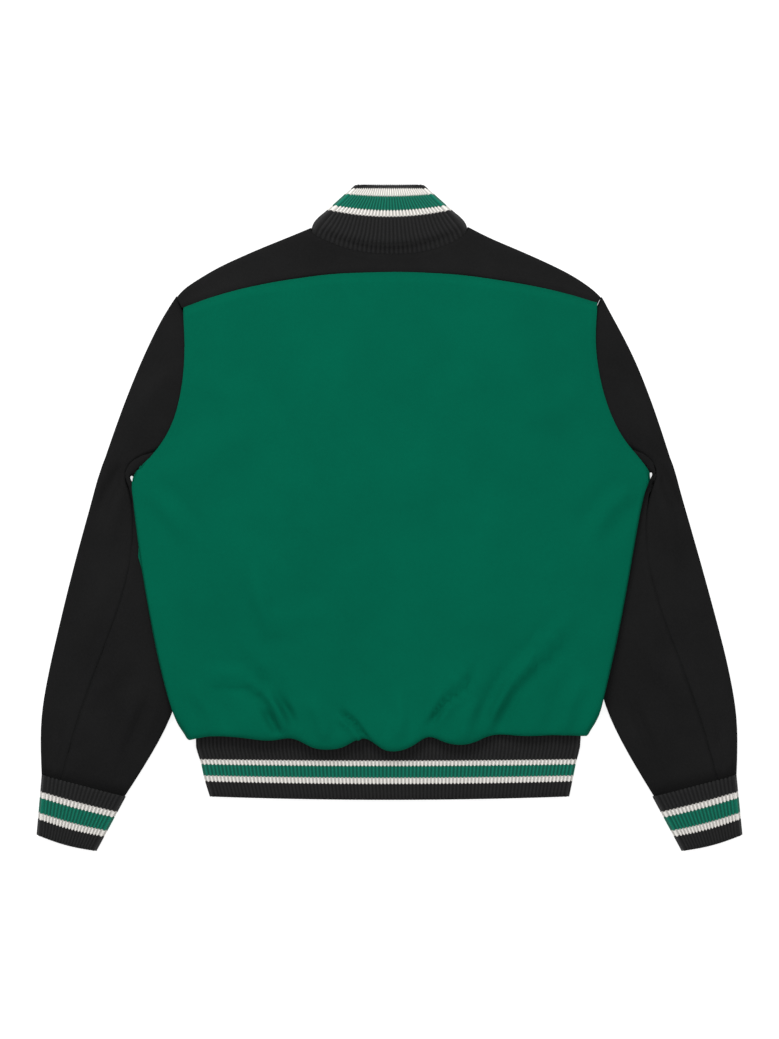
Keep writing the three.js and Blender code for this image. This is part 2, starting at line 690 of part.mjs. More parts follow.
function frontNeckPoint(t) {
  const bend = [(1 - t) ** 2, 2 * t * (1 - t), t * t];
  const reach = bend[0] * frontNeck.startReach + bend[1] * frontNeck.controlReach;
  const y = bend[0] * frontNeck.startY + bend[1] * frontNeck.controlY + bend[2] * frontNeck.endY;
  return { reach, y };
}

function frontNeckReach(y) {
  let [low, high] = [0, 1];
  for (let k = 0; k < 30; k += 1) {
    const middle = (low + high) / 2;
    if (frontNeckPoint(middle).y > y) low = middle;
    else high = middle;
  }
  return frontNeckPoint(low).reach;
}

const yokeGrid = backGrid.map((_, i) => yokeColumn(i));
const firstFrontRow = yokeBackSteps;
const yokeCovers = (i, j) => j < firstFrontRow || !(isNeck(i) || isNeck(i + 1));

// Front panels. The top edge follows the front yoke seam and the neckline, the side follows
// the armhole and the body's side, and the opening edge runs past the centre.
const frontNeckSteps = 5;
const frontSideRows = [...bodySideRows, ...toHemRows.map((part) => lerp(lastBodySideRow, hemSeamY, part))];
const placketColumns = { left: [38, 12, 0, -15], right: [44, 38, 32, 26, 20, 17, 0, -15] };

function frontTopEdge(side) {
  const columns = yokeGrid
    .filter((_, i) => !isNeck(i) && Math.sign(yokeGrid[i][0][0]) === sign[side])
    .map((column) => column[column.length - 1]);
  if (side === 'right') columns.reverse();
  const seam = columns.map(([x, y]) => [x, y - seamGap]);
  const last = seam[seam.length - 1];
  const startReach = Math.abs(last[0]);
  const stop = placketColumns[side][0];
  const neck = steps(frontNeckSteps).slice(1, -1).map((t) => {
    const reach = lerp(startReach, stop, t);
    return [sign[side] * reach, frontNeckY(reach)];
  });
  const placket = placketColumns[side].map((reach) => [sign[side] * reach, frontNeckY(Math.abs(reach))]);
  return [...seam, ...neck, ...placket];
}

function frontNeckY(reach) {
  let [low, high] = [0, 1];
  for (let k = 0; k < 30; k += 1) {
    const middle = (low + high) / 2;
    if (frontNeckPoint(middle).reach > reach) low = middle;
    else high = middle;
  }
  return frontNeckPoint(low).y;
}

function frontEdgeRows(side) {
  const upper = frontArmholeAcross.map((across) => armholePoint(side, across));
  const lower = frontSideRows.map((y) => bodySidePoint(side, y));
  const corner = [sign[side] * (hemEdgeX[side].inside + 0.5), hemSeamY + seamGap];
  return [...upper, ...lower, corner];
}

// How far the right front and its end of the waistband step up over the left ones
function placketRise(x) {
  return 1 - smoothstep(placketStep.end, placketStep.start, x);
}

function frontPanel(side) {
  const topEdge = frontTopEdge(side);
  const first = topEdge[0];
  const edgeRows = [first, ...frontEdgeRows(side).slice(1)];
  const last = topEdge[topEdge.length - 1];
  const bottomY = edgeRows[edgeRows.length - 1][1];
  const grid = topEdge.map(([topX, topY], i) => edgeRows.map((edge, j) => {
    const u = (topX - first[0]) / (last[0] - first[0]);
    const fall = (first[1] - edge[1]) / (first[1] - bottomY);
    const opening = [last[0], lerp(last[1], bottomY, fall)];
    const topStraight = mix(first, last, u);
    const shape = 1 - smoothstep(0, 0.5, fall);
    let x = lerp(edge[0], opening[0], u);
    const y = lerp(edge[1], opening[1], u) + shape * (topY - topStraight[1]);
    const besideOpening = sign[side] * (topX - last[0]);
    if (side === 'right' && besideOpening < 60) x = topX;
    const lift = frontLift(side, x, y);
    const rise = side === 'right' ? (woolWall + seamGap) * placketRise(x) : 0;
    return [x, y, lift + rise];
  }));
  return clothWall(grid, { thickness: woolWall, upright: true });
}

// Waistband, one strip of rib from the left opening edge round the back to the right one
const waistbandSideAt = smoothTable('y', [
  { y: -254, left: 231.5, right: 229 },
  { y: -277, left: 231, right: 227.4 },
  { y: -296, left: 225, right: 222.6 },
  { y: -315, left: 221.4, right: 219 },
  { y: -338, left: 214.5, right: 214.5 },
]);
const waistbandRows = [0, 1];
const bandFoldSteps = 6;
const underBandColumns = 7;

function waistbandPlan(side, x, part) {
  const y = lerp(waistband.top, waistband.bottom, part);
  const reach = waistbandSideAt(y)[side];
  return y + waistband.smile * part * (x / reach) ** 2;
}

function waistbandGrid() {
  const relief = [];
  const byRow = waistbandRows.map((part) => {
    const y = lerp(waistband.top, waistband.bottom, part);
    const reach = { left: waistbandSideAt(y).left, right: waistbandSideAt(y).right };
    const arc = foldArc(0, waistband.height, bandFoldSteps);
    const inset = arc[0].inset;
    const points = [];
    const push = (x, z, raised) => {
      const side = x < 0 ? 'left' : 'right';
      points.push([x, waistbandPlan(side, x, part), z]);
      if (part === 0) relief.push(raised);
    };
    for (const t of steps(underBandColumns).slice(0, -1)) {
      push(lerp(placketReach, -reach.left + inset, t), 0, false);
    }
    for (const { inset: depth, z } of [...arc].reverse().slice(0, -1)) push(-reach.left + depth, z, false);
    const spans = waistband.ribs * 2;
    for (let k = 0; k <= spans; k += 1) {
      push(lerp(-reach.left + inset, reach.right - inset, k / spans), waistband.height, k % 2 === 1);
    }
    for (const { inset: depth, z } of arc.slice(1)) push(reach.right - depth, z, false);
    for (const t of steps(underBandColumns).slice(1, -1)) {
      push(lerp(reach.right - inset, placketColumns.right[1], t), 0, false);
    }
    for (const x of placketColumns.right.slice(1)) push(x, (ribWall + seamGap) * placketRise(x), false);
    return points;
  });
  const base = byRow[0].map((_, i) => byRow.map((row) => row[i]));
  const outer = base.map((column, i) => column.map(([x, y, z]) => [x, y, z + (relief[i] ? ribRelief : 0)]));
  return { base, outer };
}

// Cuffs, flattened tubes of rib, open at both ends
const cuffEdge = {
  seamOuter: { left: [415.6, -307.9], right: [414.6, -307.9] },
  seamInner: { left: [317, -333.9], right: [316, -333.9] },
  freeOuter: { left: [421.8, -380], right: [421.8, -380] },
  freeInner: { left: [352, -399], right: [351, -399] },
};
const cuffRows = [0, 1];
const cuffUnderColumns = 6;

function cuffPiece(side) {
  const relief = [];
  const byRow = cuffRows.map((part) => {
    const outer = mix(cuffEdge.seamOuter[side], cuffEdge.freeOuter[side], part);
    const inner = mix(cuffEdge.seamInner[side], cuffEdge.freeInner[side], part);
    const width = Math.hypot(outer[0] - inner[0], outer[1] - inner[1]);
    const arc = foldArc(0, cuffHeight.fold, foldSteps);
    const points = [];
    const push = (across, z, raised) => {
      const [reach, y] = mix(outer, inner, across);
      points.push([sign[side] * reach, y - 2.5 * part * Math.sin(Math.PI * across), z]);
      if (part === 0) relief.push(raised);
    };
    const fold = arc[0].inset / width;
    const spans = cuffRibs * 2;
    for (let k = 0; k <= spans; k += 1) {
      const across = lerp(fold, 1 - fold, k / spans);
      const arch = (cuffHeight.middle - cuffHeight.fold) * Math.sin((Math.PI * k) / spans);
      push(across, cuffHeight.fold + arch, k % 2 === 1);
    }
    for (const { inset, z } of arc.slice(1)) push(1 - inset / width, z, false);
    for (const t of steps(cuffUnderColumns).slice(1, -1)) push(lerp(1 - fold, fold, t), 0, false);
    for (const { inset, z } of [...arc].reverse()) push(inset / width, z, false);
    return points;
  });
  const base = byRow[0].map((_, i) => byRow.map((row) => row[i]));
  const outer = base.map((column, i) => column.map(([x, y, z]) => [x, y, z + (relief[i] ? ribRelief : 0)]));
  return closedTube(outer, base, ribWall, -sign[side]);
}

// A wall whose first and last columns are the same line: a tube, open at both ends
function closedTube(outer, base, thickness, inward) {
  const count = outer.length - 1;
  const wrapped = [base[count - 1], ...base, base[1]];
  const wrappedOuter = [outer[count - 1], ...outer, outer[1]];
  const geometry = clothWall(wrappedOuter, { thickness, inward, base: wrapped });
  const rows = outer[0].length;
  const keep = (index) => Math.floor(index / 2 / rows);
  const position = geometry.getAttribute('position');
  const triangles = [];
  const source = geometry.getIndex().array;
  const mapped = (index) => {
    const column = keep(index);
    if (column !== count + 1) return index;
    return index - count * rows * 2;
  };
  for (let k = 0; k < source.length; k += 3) {
    const columns = [0, 1, 2].map((n) => keep(source[k + n]));
    const rim = columns.every((column) => column === columns[0]);
    const outside = columns.some((column) => column < 1 || column > count + 1);
    if (rim || outside) continue;
    triangles.push(...[0, 1, 2].map((n) => mapped(source[k + n])));
  }
  return tidyGeometry([...position.array], triangles);
}

function tidyGeometry(positions, triangles) {
  const order = new Map();
  const kept = [];
  const renumbered = triangles.map((index) => {
    if (!order.has(index)) {
      order.set(index, kept.length / 3);
      kept.push(...positions.slice(3 * index, 3 * index + 3));
    }
    return order.get(index);
  });
  return closedGeometry(kept, renumbered);
}

// Collar, one band of rib round the neck, open at the centre front. Rows go from the foot,
// inside the neck seam, over the roll to the free edge, which turns down at the back.
const collarRows = [
  { middleY: 309, crest: 13.4, sideReach: 95.5, sideY: 337.5, sideTop: 13.2, base: 3.5, frontY: 251.4 },
  { middleY: 316.5, crest: 13.6, sideReach: 92.5, sideY: 342, sideTop: 13.4, base: 3.5, frontY: 255 },
  { middleY: 323.5, crest: 15.8, sideReach: 92, sideY: 346.5, sideTop: 14.5, base: 1.2, frontY: 259 },
  { middleY: 328.5, crest: 23, sideReach: 89.3, sideY: 353, sideTop: 16.5, base: 0, frontY: 267 },
  { middleY: 338, crest: 25.2, sideReach: 83.5, sideY: 359.5, sideTop: 16.5, base: 0, frontY: 274 },
  { middleY: 357.6, crest: 26, sideReach: 74.5, sideY: 367, sideTop: 16, base: 0, frontY: 286 },
  { middleY: 382, crest: 23.5, sideReach: 53.5, sideY: 386, sideTop: 14, base: 0, frontY: 310 },
  { middleY: 396.3, crest: 14, sideReach: 42.5, sideY: 395.8, sideTop: 11, base: 0, frontY: 324 },
  { middleY: 397.2, crest: 9.2, sideReach: 39.5, sideY: 398, sideTop: 10, base: 0, frontY: 328 },
];
const collarFrontColumns = 6;
const collarFrontGap = 1;

function collarFrontPoint(row, side, t) {
  const control = [0.86 * row.sideReach, row.frontY + 15];
  const bend = [(1 - t) ** 2, 2 * t * (1 - t), t * t];
  const reach = bend[0] * row.sideReach + bend[1] * control[0] + bend[2] * collarFrontGap;
  const y = bend[0] * row.sideY + bend[1] * control[1] + bend[2] * row.frontY;
  const settled = row.base * (1 - smoothstep(0.3, 0.5, t));
  return [sign[side] * reach, y, settled];
}

function collarGrid() {
  const relief = [];
  const byRow = collarRows.map((row, j) => {
    const points = [];
    const push = (point, raised) => {
      points.push(point);
      if (j === 0) relief.push(raised);
    };
    const width = 2 * row.sideReach;
    const frontLength = row.sideY - row.frontY + row.sideReach * 0.6;
    const arc = foldArc(row.base, row.sideTop, foldSteps);
    const top = (across, z) => {
      const smile = 1 - (2 * across - 1) ** 2;
      return [lerp(-row.sideReach, row.sideReach, across), lerp(row.sideY, row.middleY, smile), z];
    };
    const half = foldSteps / 2;
    const lowerArc = arc.slice(half + 1).map(({ inset, z }) => ({ t: inset / frontLength, z }));
    const frontStart = lowerArc[lowerArc.length - 1].t;
    const frontPlaces = steps(collarFrontColumns).slice(1).map((t) => lerp(frontStart, 1, t));
    const front = (side, t, z) => {
      const [x, y, settled] = collarFrontPoint(row, side, t);
      return [x, y, z ?? settled];
    };
    for (const t of [...frontPlaces].reverse()) push(front('left', t), false);
    for (const { t, z } of [...lowerArc].reverse()) push(front('left', t, z), false);
    for (const { inset, z } of arc.slice(0, half + 1).reverse()) push(top(inset / width, z), false);
    const fold = arc[0].inset / width;
    const spans = collarRibs * 2;
    for (let k = 1; k < spans; k += 1) {
      const across = lerp(fold, 1 - fold, k / spans);
      const arch = Math.sin((Math.PI * k) / spans) ** 0.6;
      push(top(across, lerp(row.sideTop, row.crest, arch)), k % 2 === 1);
    }
    for (const { inset, z } of arc.slice(0, half + 1)) push(top(1 - inset / width, z), false);
    for (const { t, z } of lowerArc) push(front('right', t, z), false);
    for (const t of frontPlaces) push(front('right', t), false);
    return points;
  });
  const base = byRow[0].map((_, i) => byRow.map((row) => row[i]));
  const outer = base.map((column, i) => column.map((point, j) => (
    relief[i] && j > 1 ? raisedPoint(base, i, j, ribRelief) : point
  )));
  return { base, outer };
}

function raisedPoint(grid, i, j, height) {
  const at = (a, b) => new THREE.Vector3(...(grid[a]?.[b] ?? grid[i][j]));
  const across = at(i + 1, j).sub(at(i - 1, j));
  const down = at(i, j + 1).sub(at(i, j - 1));
  return new THREE.Vector3(...grid[i][j]).addScaledVector(across.cross(down).normalize(), height).toArray();
}

// Snaps, let into the outer face of the left front and of the waistband's left end, so that
// the faces that rest on the surface stay flush
function snapPlaces() {
  const onPlacket = steps(placketSnaps - 1).map((t) => (
    placketSnapTop - placketSnapSpacing * (placketSnaps - 1) * t
  ));
  return [...onPlacket, waistbandSnapY];
}

function snapCapGeometry() {
  const { radius, height, bevel } = snapCap;
  const profile = [[0, 0], [radius - bevel, 0], [radius, bevel], [radius, height], [0, height]];
  const turned = new THREE.LatheGeometry(profile.map(([x, y]) => new THREE.Vector2(x, y)), snapSides);
  turned.rotateX(Math.PI / 2);
  return turned;
}

function toSolid(geometry) {
  const bare = geometry.clone();
  bare.deleteAttribute('normal');
  bare.deleteAttribute('uv');
  const merged = mergeVertices(bare, 1e-4);
  return new wasm.Manifold(new wasm.Mesh({
    numProp: 3,
    vertProperties: new Float32Array(merged.getAttribute('position').array),
    triVerts: new Uint32Array(merged.getIndex().array),
  }));
}

function fromSolid(solid) {
  const mesh = solid.getMesh();
  const geometry = new THREE.BufferGeometry();
  geometry.setAttribute('position', new THREE.Float32BufferAttribute(mesh.vertProperties, 3));
  geometry.setIndex([...mesh.triVerts]);
  return geometry;
}

function withSnapPockets(geometry, places) {
  let solid = toSolid(geometry);
  for (const y of places) {
    const pocket = new THREE.CylinderGeometry(snapCap.radius + seamGap, snapCap.radius + seamGap, 2 * snapPocketDepth, snapSides);
    pocket.rotateX(Math.PI / 2);
    pocket.translate(0, y, 0);
    solid = solid.subtract(toSolid(pocket));
  }
  return fromSolid(solid);
}

// The jacket
const jacket = new THREE.Group();

function addPiece(name, geometry, material) {
  const mesh = new THREE.Mesh(geometry, material);
  mesh.name = name;
  jacket.add(mesh);
  return mesh;
}

const snapYs = snapPlaces();
const band = waistbandGrid();
const bandWall = clothWall(band.outer, { thickness: ribWall, inward: 1, base: band.base });
const neckBand = collarGrid();

addPiece('back_panel', clothWall(backGrid, { thickness: woolWall, inward: 1 }), finish.greenWool);
addPiece('yoke', clothWall(yokeGrid, { thickness: woolWall, inward: -1, covers: yokeCovers }), finish.blackWool);
addPiece('front_left', withSnapPockets(frontPanel('left'), snapYs.slice(0, placketSnaps)), finish.greenWool);
addPiece('front_right', frontPanel('right'), finish.greenWool);
for (const side of sides) {
  for (const piece of ['upper', 'under']) {
    addPiece(`sleeve_${side}_${piece}`, sleevePiece(side, piece), finish.blackWool);
  }
  addPiece(`cuff_${side}`, cuffPiece(side), finish.ribKnit);
}
addPiece('waistband', withSnapPockets(bandWall, snapYs.slice(placketSnaps)), finish.ribKnit);
addPiece('collar', clothWall(neckBand.outer, { thickness: ribWall, inward: -1, base: neckBand.base }), finish.ribKnit);
snapYs.forEach((y, k) => addPiece(`snap_${k + 1}`, snapCapGeometry(), finish.snapMetal).position.set(0, y, 0));

export default jacket;
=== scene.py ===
import math

import bmesh
import bpy
import numpy as np
from bpy.props import FloatProperty, FloatVectorProperty, IntProperty, PointerProperty
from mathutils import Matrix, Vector
from mathutils.kdtree import KDTree


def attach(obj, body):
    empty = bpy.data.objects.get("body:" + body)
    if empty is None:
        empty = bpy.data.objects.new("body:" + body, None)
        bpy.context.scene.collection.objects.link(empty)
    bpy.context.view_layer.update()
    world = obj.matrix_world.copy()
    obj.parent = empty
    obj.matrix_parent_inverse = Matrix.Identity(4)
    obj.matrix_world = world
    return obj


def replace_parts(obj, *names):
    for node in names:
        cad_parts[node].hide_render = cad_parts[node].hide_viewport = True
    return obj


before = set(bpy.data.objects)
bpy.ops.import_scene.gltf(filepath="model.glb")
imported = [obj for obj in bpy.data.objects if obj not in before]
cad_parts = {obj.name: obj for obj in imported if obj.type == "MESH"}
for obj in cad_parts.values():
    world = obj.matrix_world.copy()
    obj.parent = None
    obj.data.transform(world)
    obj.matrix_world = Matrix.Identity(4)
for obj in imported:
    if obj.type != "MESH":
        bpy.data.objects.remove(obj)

bl_info = {
    "name": "Varsity jacket",
    "version": (1, 0, 0),
    "blender": (4, 5, 0),
    "location": "View3D > Sidebar > Jacket",
    "description": "Cloth, rib knit and snaps of a varsity jacket laid flat with its back up",
    "category": "Object",
}

MM = 0.001
SIDES = {"left": -1, "right": 1}
PHOTO = {"width": 779, "height": 1039, "mm_per_pixel": 1.2}

# Rib knit, the sizes that the CAD solids have, in mm
WAISTBAND = {"top": -254.8, "bottom": -337.8, "height": 12.6, "ribs": 97, "smile": 4}
WAISTBAND_SIDE = (
    (-254, 231.5, 229), (-277, 231, 227.4), (-296, 225, 222.6), (-315, 221.4, 219), (-338, 214.5, 214.5),
)
PLACKET_REACH = 15
PLACKET_STEP = (38, 17)
PLACKET_COLUMNS = (38, 32, 26, 20, 17, 0, -15)
CUFF = {"ribs": 18, "fold": 11.5, "middle": 13}
CUFF_EDGES = {
    "left": {"seam": ((415.6, -307.9), (317, -333.9)), "free": ((421.8, -380), (352, -399))},
    "right": {"seam": ((414.6, -307.9), (316, -333.9)), "free": ((421.8, -380), (351, -399))},
}
COLLAR_RIBS = 32
COLLAR_COLUMNS = ("middle_y", "crest", "side_reach", "side_y", "side_top", "base", "front_y")
COLLAR_ROWS = (
    (309, 13.4, 95.5, 337.5, 13.2, 3.5, 251.4),
    (316.5, 13.6, 92.5, 342, 13.4, 3.5, 255),
    (323.5, 15.8, 92, 346.5, 14.5, 1.2, 259),
    (328.5, 23, 89.3, 353, 16.5, 0, 267),
    (338, 25.2, 83.5, 359.5, 16.5, 0, 274),
    (357.6, 26, 74.5, 367, 16, 0, 286),
    (382, 23.5, 53.5, 386, 14, 0, 310),
    (396.3, 14, 42.5, 395.8, 11, 0, 324),
    (397.2, 9.2, 39.5, 398, 10, 0, 328),
)
RIB_WALL = 4
RIB_RELIEF = 1.2
KNIT_WALL = 2.6

# The outer face ends where the wall turns by more than this, in degrees
SKIN_EDGE_ANGLE = 62
# The ridge of the seam allowance inside a seam, in mm
SEAM_RIDGE = {"away": 5.6, "half_width": 1.8, "height": 0.35}

# Stripes of each rib piece: the distances from its free edge where the colour changes, in mm
STRIPES = {
    "waistband": (20, 27, 41.4, 47.4),
    "cuff": (19, 26, 43, 49.5),
    "collar": (11, 21.9, 39.4, 46.6),
}

# Where the armhole meets the body's side, in mm
UNDERARM = (306, 50)

# Creases on the back: points in mm, half width, height, and the height of the
# soft bank beside it on its left and right
BACK_CREASES = (
    (((-61.8, -229.8), (-40.8, -245.4), (-24.6, -268.2)), 3.2, -3.2, 0.4, 1.8),
    (((46.2, -250.4), (64.2, -222.1), (90.6, -202.2), (107.4, -175.8)), 3.6, -3.4, 1.2, 1.2),
    (((113.4, -261), (126.6, -228.6), (143.4, -198.6), (176.4, -162.6), (225.7, -117)), 6.5, 3.4, -1.6, -1.8),
    (((-119.8, -261.6), (-142.8, -208.9), (-175.8, -189), (-225, -192.6)), 6, 3.0, -1.4, -1.4),
    (((-182.3, -175.8), (-153, -192.6), (-123, -228.6), (-109.8, -252)), 4.2, -2.6, 0.8, 0.6),
    (((-149.4, -228.6), (-129.6, -262)), 4, -2.2, 0.3, 0.3),
    (((-162.6, -60.6), (-153, -106.2), (-142.8, -130.2), (-107.4, -117), (-67.8, -117)), 9, 1.5, -0.8, -0.8),
    (((8, -268), (14, -238), (10, -205)), 7, 1.2, -0.6, -0.6),
    (((87, -268), (92, -240), (104, -214)), 7, 1.2, -0.5, -0.5),
    (((-75, -268), (-80, -244), (-94, -215)), 8, 1.4, -0.6, -0.6),
    (((204, -266), (214, -224), (236, -186)), 8, 1.3, -0.8, -0.6),
    (((-205, -266), (-214, -232), (-238, -196)), 8, 1.2, -0.7, -0.6),
    (((-292, 36), (-262, 6), (-232, -34)), 9, 1.3, -0.9, -0.7),
    (((292, 38), (262, 10), (236, -30)), 9, 1.3, -0.8, -0.8),
    (((-236, 170), (-196, 150), (-150, 140)), 16, 0.8, -0.4, -0.4),
    (((236, 150), (190, 128), (150, 124)), 16, 0.8, -0.4, -0.4),
)
SLEEVE_CREASES = (
    (((287.4, -214), (302, -250), (317.4, -291)), 5.5, -2.4, 1.2, 0.9),
    (((408, -252), (384, -268), (352, -276)), 6, -1.8, 0.9, 0.9),
    (((400, -292), (372, -300), (344, -306)), 4.5, -1.2, 0.7, 0.5),
    (((318, 66), (334, 34), (352, -2)), 8, -1.4, 0.8, 0.6),
    (((322, 40), (336, -16), (342, -70)), 9, 1.2, -0.7, -0.5),
    (((330, -60), (352, -120), (380, -170)), 12, 0.9, -0.5, -0.5),
    (((262, 180), (284, 150), (300, 120)), 9, 0.9, -0.5, -0.5),
    (((306, -150), (330, -190), (366, -222)), 10, 1.0, -0.6, -0.6),
)
FRONT_CREASES = (
    (((60, -250), (72, -205), (98, -160)), 7, 1.1, -0.6, -0.6),
    (((120, -250), (138, -200), (170, -150)), 7, 1.1, -0.6, -0.6),
    (((178, -246), (196, -200), (216, -160)), 6, 0.9, -0.5, -0.5),
)


def settings(name):
    """A property group's defaults, read from the scene."""
    return getattr(bpy.context.scene, "jacket_" + name)


# Shader maths.


class Socket:
    """A shader value that takes plain arithmetic."""

    def __init__(self, tree, socket):
        self.tree = tree
        self.socket = socket

    def maths(self, operation, *others, clamp=False):
        node = self.tree.nodes.new("ShaderNodeMath")
        node.operation = operation
        node.use_clamp = clamp
        for place, value in zip(node.inputs, (self, *others)):
            if isinstance(value, Socket):
                self.tree.links.new(value.socket, place)
            else:
                place.default_value = value
        return Socket(self.tree, node.outputs[0])

    def __add__(self, other):
        return self.maths("ADD", other)

    __radd__ = __add__

    def __mul__(self, other):
        return self.maths("MULTIPLY", other)

    __rmul__ = __mul__

    def __sub__(self, other):
        return self.maths("SUBTRACT", other)

    def above(self, edge, soft):
        """0 below an edge and 1 above it, over a soft width."""
        return ((self - edge) * (1 / soft) + 0.5).maths("ADD", 0, clamp=True)


class Shader:
    """A material's node tree, with the nodes that the cloths share."""

    def __init__(self, name):
        self.material = bpy.data.materials.new(name)
        self.material.use_nodes = True
        self.tree = self.material.node_tree
        self.principled = self.tree.nodes["Principled BSDF"]

    def node(self, kind, **values):
        node = self.tree.nodes.new(kind)
        for name, value in values.items():
            setattr(node, name, value)
        return node

    def place(self):
        return self.node("ShaderNodeTexCoord").outputs["Object"]

    def uv(self):
        uv = self.node("ShaderNodeUVMap", uv_map="knit")
        split = self.node("ShaderNodeSeparateXYZ")
        self.tree.links.new(uv.outputs[0], split.inputs[0])
        return Socket(self.tree, split.outputs[0]), Socket(self.tree, split.outputs[1])

    def noise(self, place, scale, detail=2.0, roughness=0.5, stretch=None):
        if stretch:
            mapping = self.node("ShaderNodeMapping")
            mapping.inputs["Scale"].default_value = stretch
            self.tree.links.new(place, mapping.inputs["Vector"])
            place = mapping.outputs[0]
        noise = self.node("ShaderNodeTexNoise")
        noise.inputs["Scale"].default_value = scale
        noise.inputs["Detail"].default_value = detail
        noise.inputs["Roughness"].default_value = roughness
        self.tree.links.new(place, noise.inputs["Vector"])
        return Socket(self.tree, noise.outputs["Fac"])

    def mix(self, factor, low, high):
        """A colour between two colours, each one a tuple or a socket."""
        mix = self.node("ShaderNodeMix", data_type="RGBA")
        self.tree.links.new(factor.socket, mix.inputs["Factor"])
        for name, value in (("A", low), ("B", high)):
            place = next(s for s in mix.inputs if s.name == name and s.type == "RGBA")
            if isinstance(value, tuple):
                place.default_value = (*value, 1)
            else:
                self.tree.links.new(value, place)
        return next(s for s in mix.outputs if s.type == "RGBA")

    def colour(self, socket):
        self.tree.links.new(socket, self.principled.inputs["Base Color"])

    def bump(self, height, strength, distance):
        bump = self.node("ShaderNodeBump")
        bump.inputs["Strength"].default_value = strength
        bump.inputs["Distance"].default_value = distance
        self.tree.links.new(height.socket, bump.inputs["Height"])
        self.tree.links.new(bump.outputs[0], self.principled.inputs["Normal"])

    def set(self, **values):
        for name, value in values.items():
            self.principled.inputs[name.replace("_", " ")].default_value = value


def tint(colour, factor):
    return tuple(min(1.0, part * factor) for part in colour)


def wool_material(name, colour, mottle, sheen):
    """Melton wool: short matted fibres, a soft mottle and a little nap."""
    shader = Shader(name)
    place = shader.place()
    clouds = shader.noise(place, 14, 3, 0.55)
    felt = shader.noise(place, 420, 4, 0.7)
    fibre = shader.noise(place, 1400, 3, 0.7)
    spread = clouds * 0.35 + felt * 0.35 + fibre * 0.3
    contrast = (spread - 0.5) * 2.4 + 0.5
    factor = contrast.maths("ADD", 0, clamp=True)
    shader.colour(shader.mix(factor, tint(colour, 1 - mottle), tint(colour, 1 + mottle)))
    shader.set(Roughness=0.95, Sheen_Weight=sheen, Sheen_Roughness=0.5)
    shader.principled.inputs["Specular IOR Level"].default_value = 0.04
    shader.bump(felt * 0.6 + fibre * 0.4, 0.35, 0.0006)
    return shader.material


def rib_material(name, stripes, black, green, white):
    """Rib knit with two pale stripes and a green one between them. UV x counts ribs and UV y is
    the distance in mm from the free edge."""
    shader = Shader(name)
    rib, along = shader.uv()
    crest = (rib * (2 * math.pi)).maths("COSINE") * -0.5 + 0.5
    edge = along + crest * 1.1
    stitch = (along * (2 * math.pi / 1.9)).maths("SINE") * 0.5 + 0.5
    low, first, second, high = stripes
    soft = 0.9
    pale = edge.above(low, soft) - edge.above(first, soft) + edge.above(second, soft) - edge.above(high, soft)
    middle = edge.above(first, soft) - edge.above(second, soft)
    place = shader.place()
    felt = shader.noise(place, 900, 3, 0.7)
    factor = ((felt - 0.5) * 2.2 + 0.5).maths("ADD", 0, clamp=True)
    ground = shader.mix(factor, tint(black, 0.7), tint(black, 1.35))
    band = shader.mix(factor, tint(green, 0.8), tint(green, 1.2))
    cream = shader.mix(factor, tint(white, 0.9), tint(white, 1.05))
    striped = shader.mix(middle, ground, band)
    whole = shader.mix(pale, striped, cream)
    # Painted shade: the colour darkens to about half in the grooves between the ribs and keeps its full tone
    # on the crests.
    painted_groove_shade = crest * 0.75 + 0.25
    shader.colour(shader.mix(painted_groove_shade, tint_socket(shader, whole, 0.3), whole))
    shader.set(Roughness=0.9, Sheen_Weight=0.1, Sheen_Roughness=0.5)
    shader.principled.inputs["Specular IOR Level"].default_value = 0.15
    shader.bump(stitch * 0.5 + felt * 0.5, 0.4, 0.0007)
    return shader.material


def tint_socket(shader, socket, factor):
    """A colour socket, darker by a factor."""
    scaled = shader.node("ShaderNodeVectorMath", operation="SCALE")
    scaled.inputs["Scale"].default_value = factor
    shader.tree.links.new(socket, scaled.inputs[0])
    return scaled.outputs[0]


def metal_material(name, colour):
    shader = Shader(name)
    wear = shader.noise(shader.place(), 500, 3, 0.6)
    factor = ((wear - 0.5) * 2 + 0.5).maths("ADD", 0, clamp=True)
    shader.colour(shader.mix(factor, tint(colour, 0.8), tint(colour, 1.3)))
    shader.set(Metallic=0.8, Roughness=0.35, Coat_Weight=0.4)
    shader.bump(wear, 0.1, 0.0002)
    return shader.material


# Cloth made on the form of a solid.


def outer_skin(node, facing_down):
    """The outer face of a node's wall, without its inner face and its ends, as new mesh data."""
    mesh = bmesh.new()
    mesh.from_mesh(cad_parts[node].data)
    bmesh.ops.remove_doubles(mesh, verts=mesh.verts, dist=1e-6)
    if facing_down:
        kept = {face for face in mesh.faces if face.normal.z < -0.05}
        stack = []
    else:
        kept = {max(mesh.faces, key=lambda face: face.calc_center_median().z)}
        stack = list(kept)
    while stack:
        face = stack.pop()
        for edge in face.edges:
            if len(edge.link_faces) != 2 or edge.calc_face_angle() > math.radians(SKIN_EDGE_ANGLE):
                continue
            for other in edge.link_faces:
                if other not in kept:
                    kept.add(other)
                    stack.append(other)
    bmesh.ops.delete(mesh, geom=[face for face in mesh.faces if face not in kept], context="FACES")
    bmesh.ops.join_triangles(
        mesh, faces=mesh.faces, angle_face_threshold=math.radians(35), angle_shape_threshold=math.radians(50)
    )
    data = bpy.data.meshes.new(node + "_skin")
    mesh.to_mesh(data)
    mesh.free()
    return data


def evaluated(obj):
    """An object's mesh with its modifiers applied."""
    graph = bpy.context.evaluated_depsgraph_get()
    graph.update()
    return bpy.data.meshes.new_from_object(obj.evaluated_get(graph))


def subdivided(data, levels):
    obj = bpy.data.objects.new("work", data)
    bpy.context.collection.objects.link(obj)
    modifier = obj.modifiers.new("smooth", "SUBSURF")
    modifier.levels = levels
    modifier.boundary_smooth = "PRESERVE_CORNERS"
    result = evaluated(obj)
    bpy.data.objects.remove(obj)
    return result


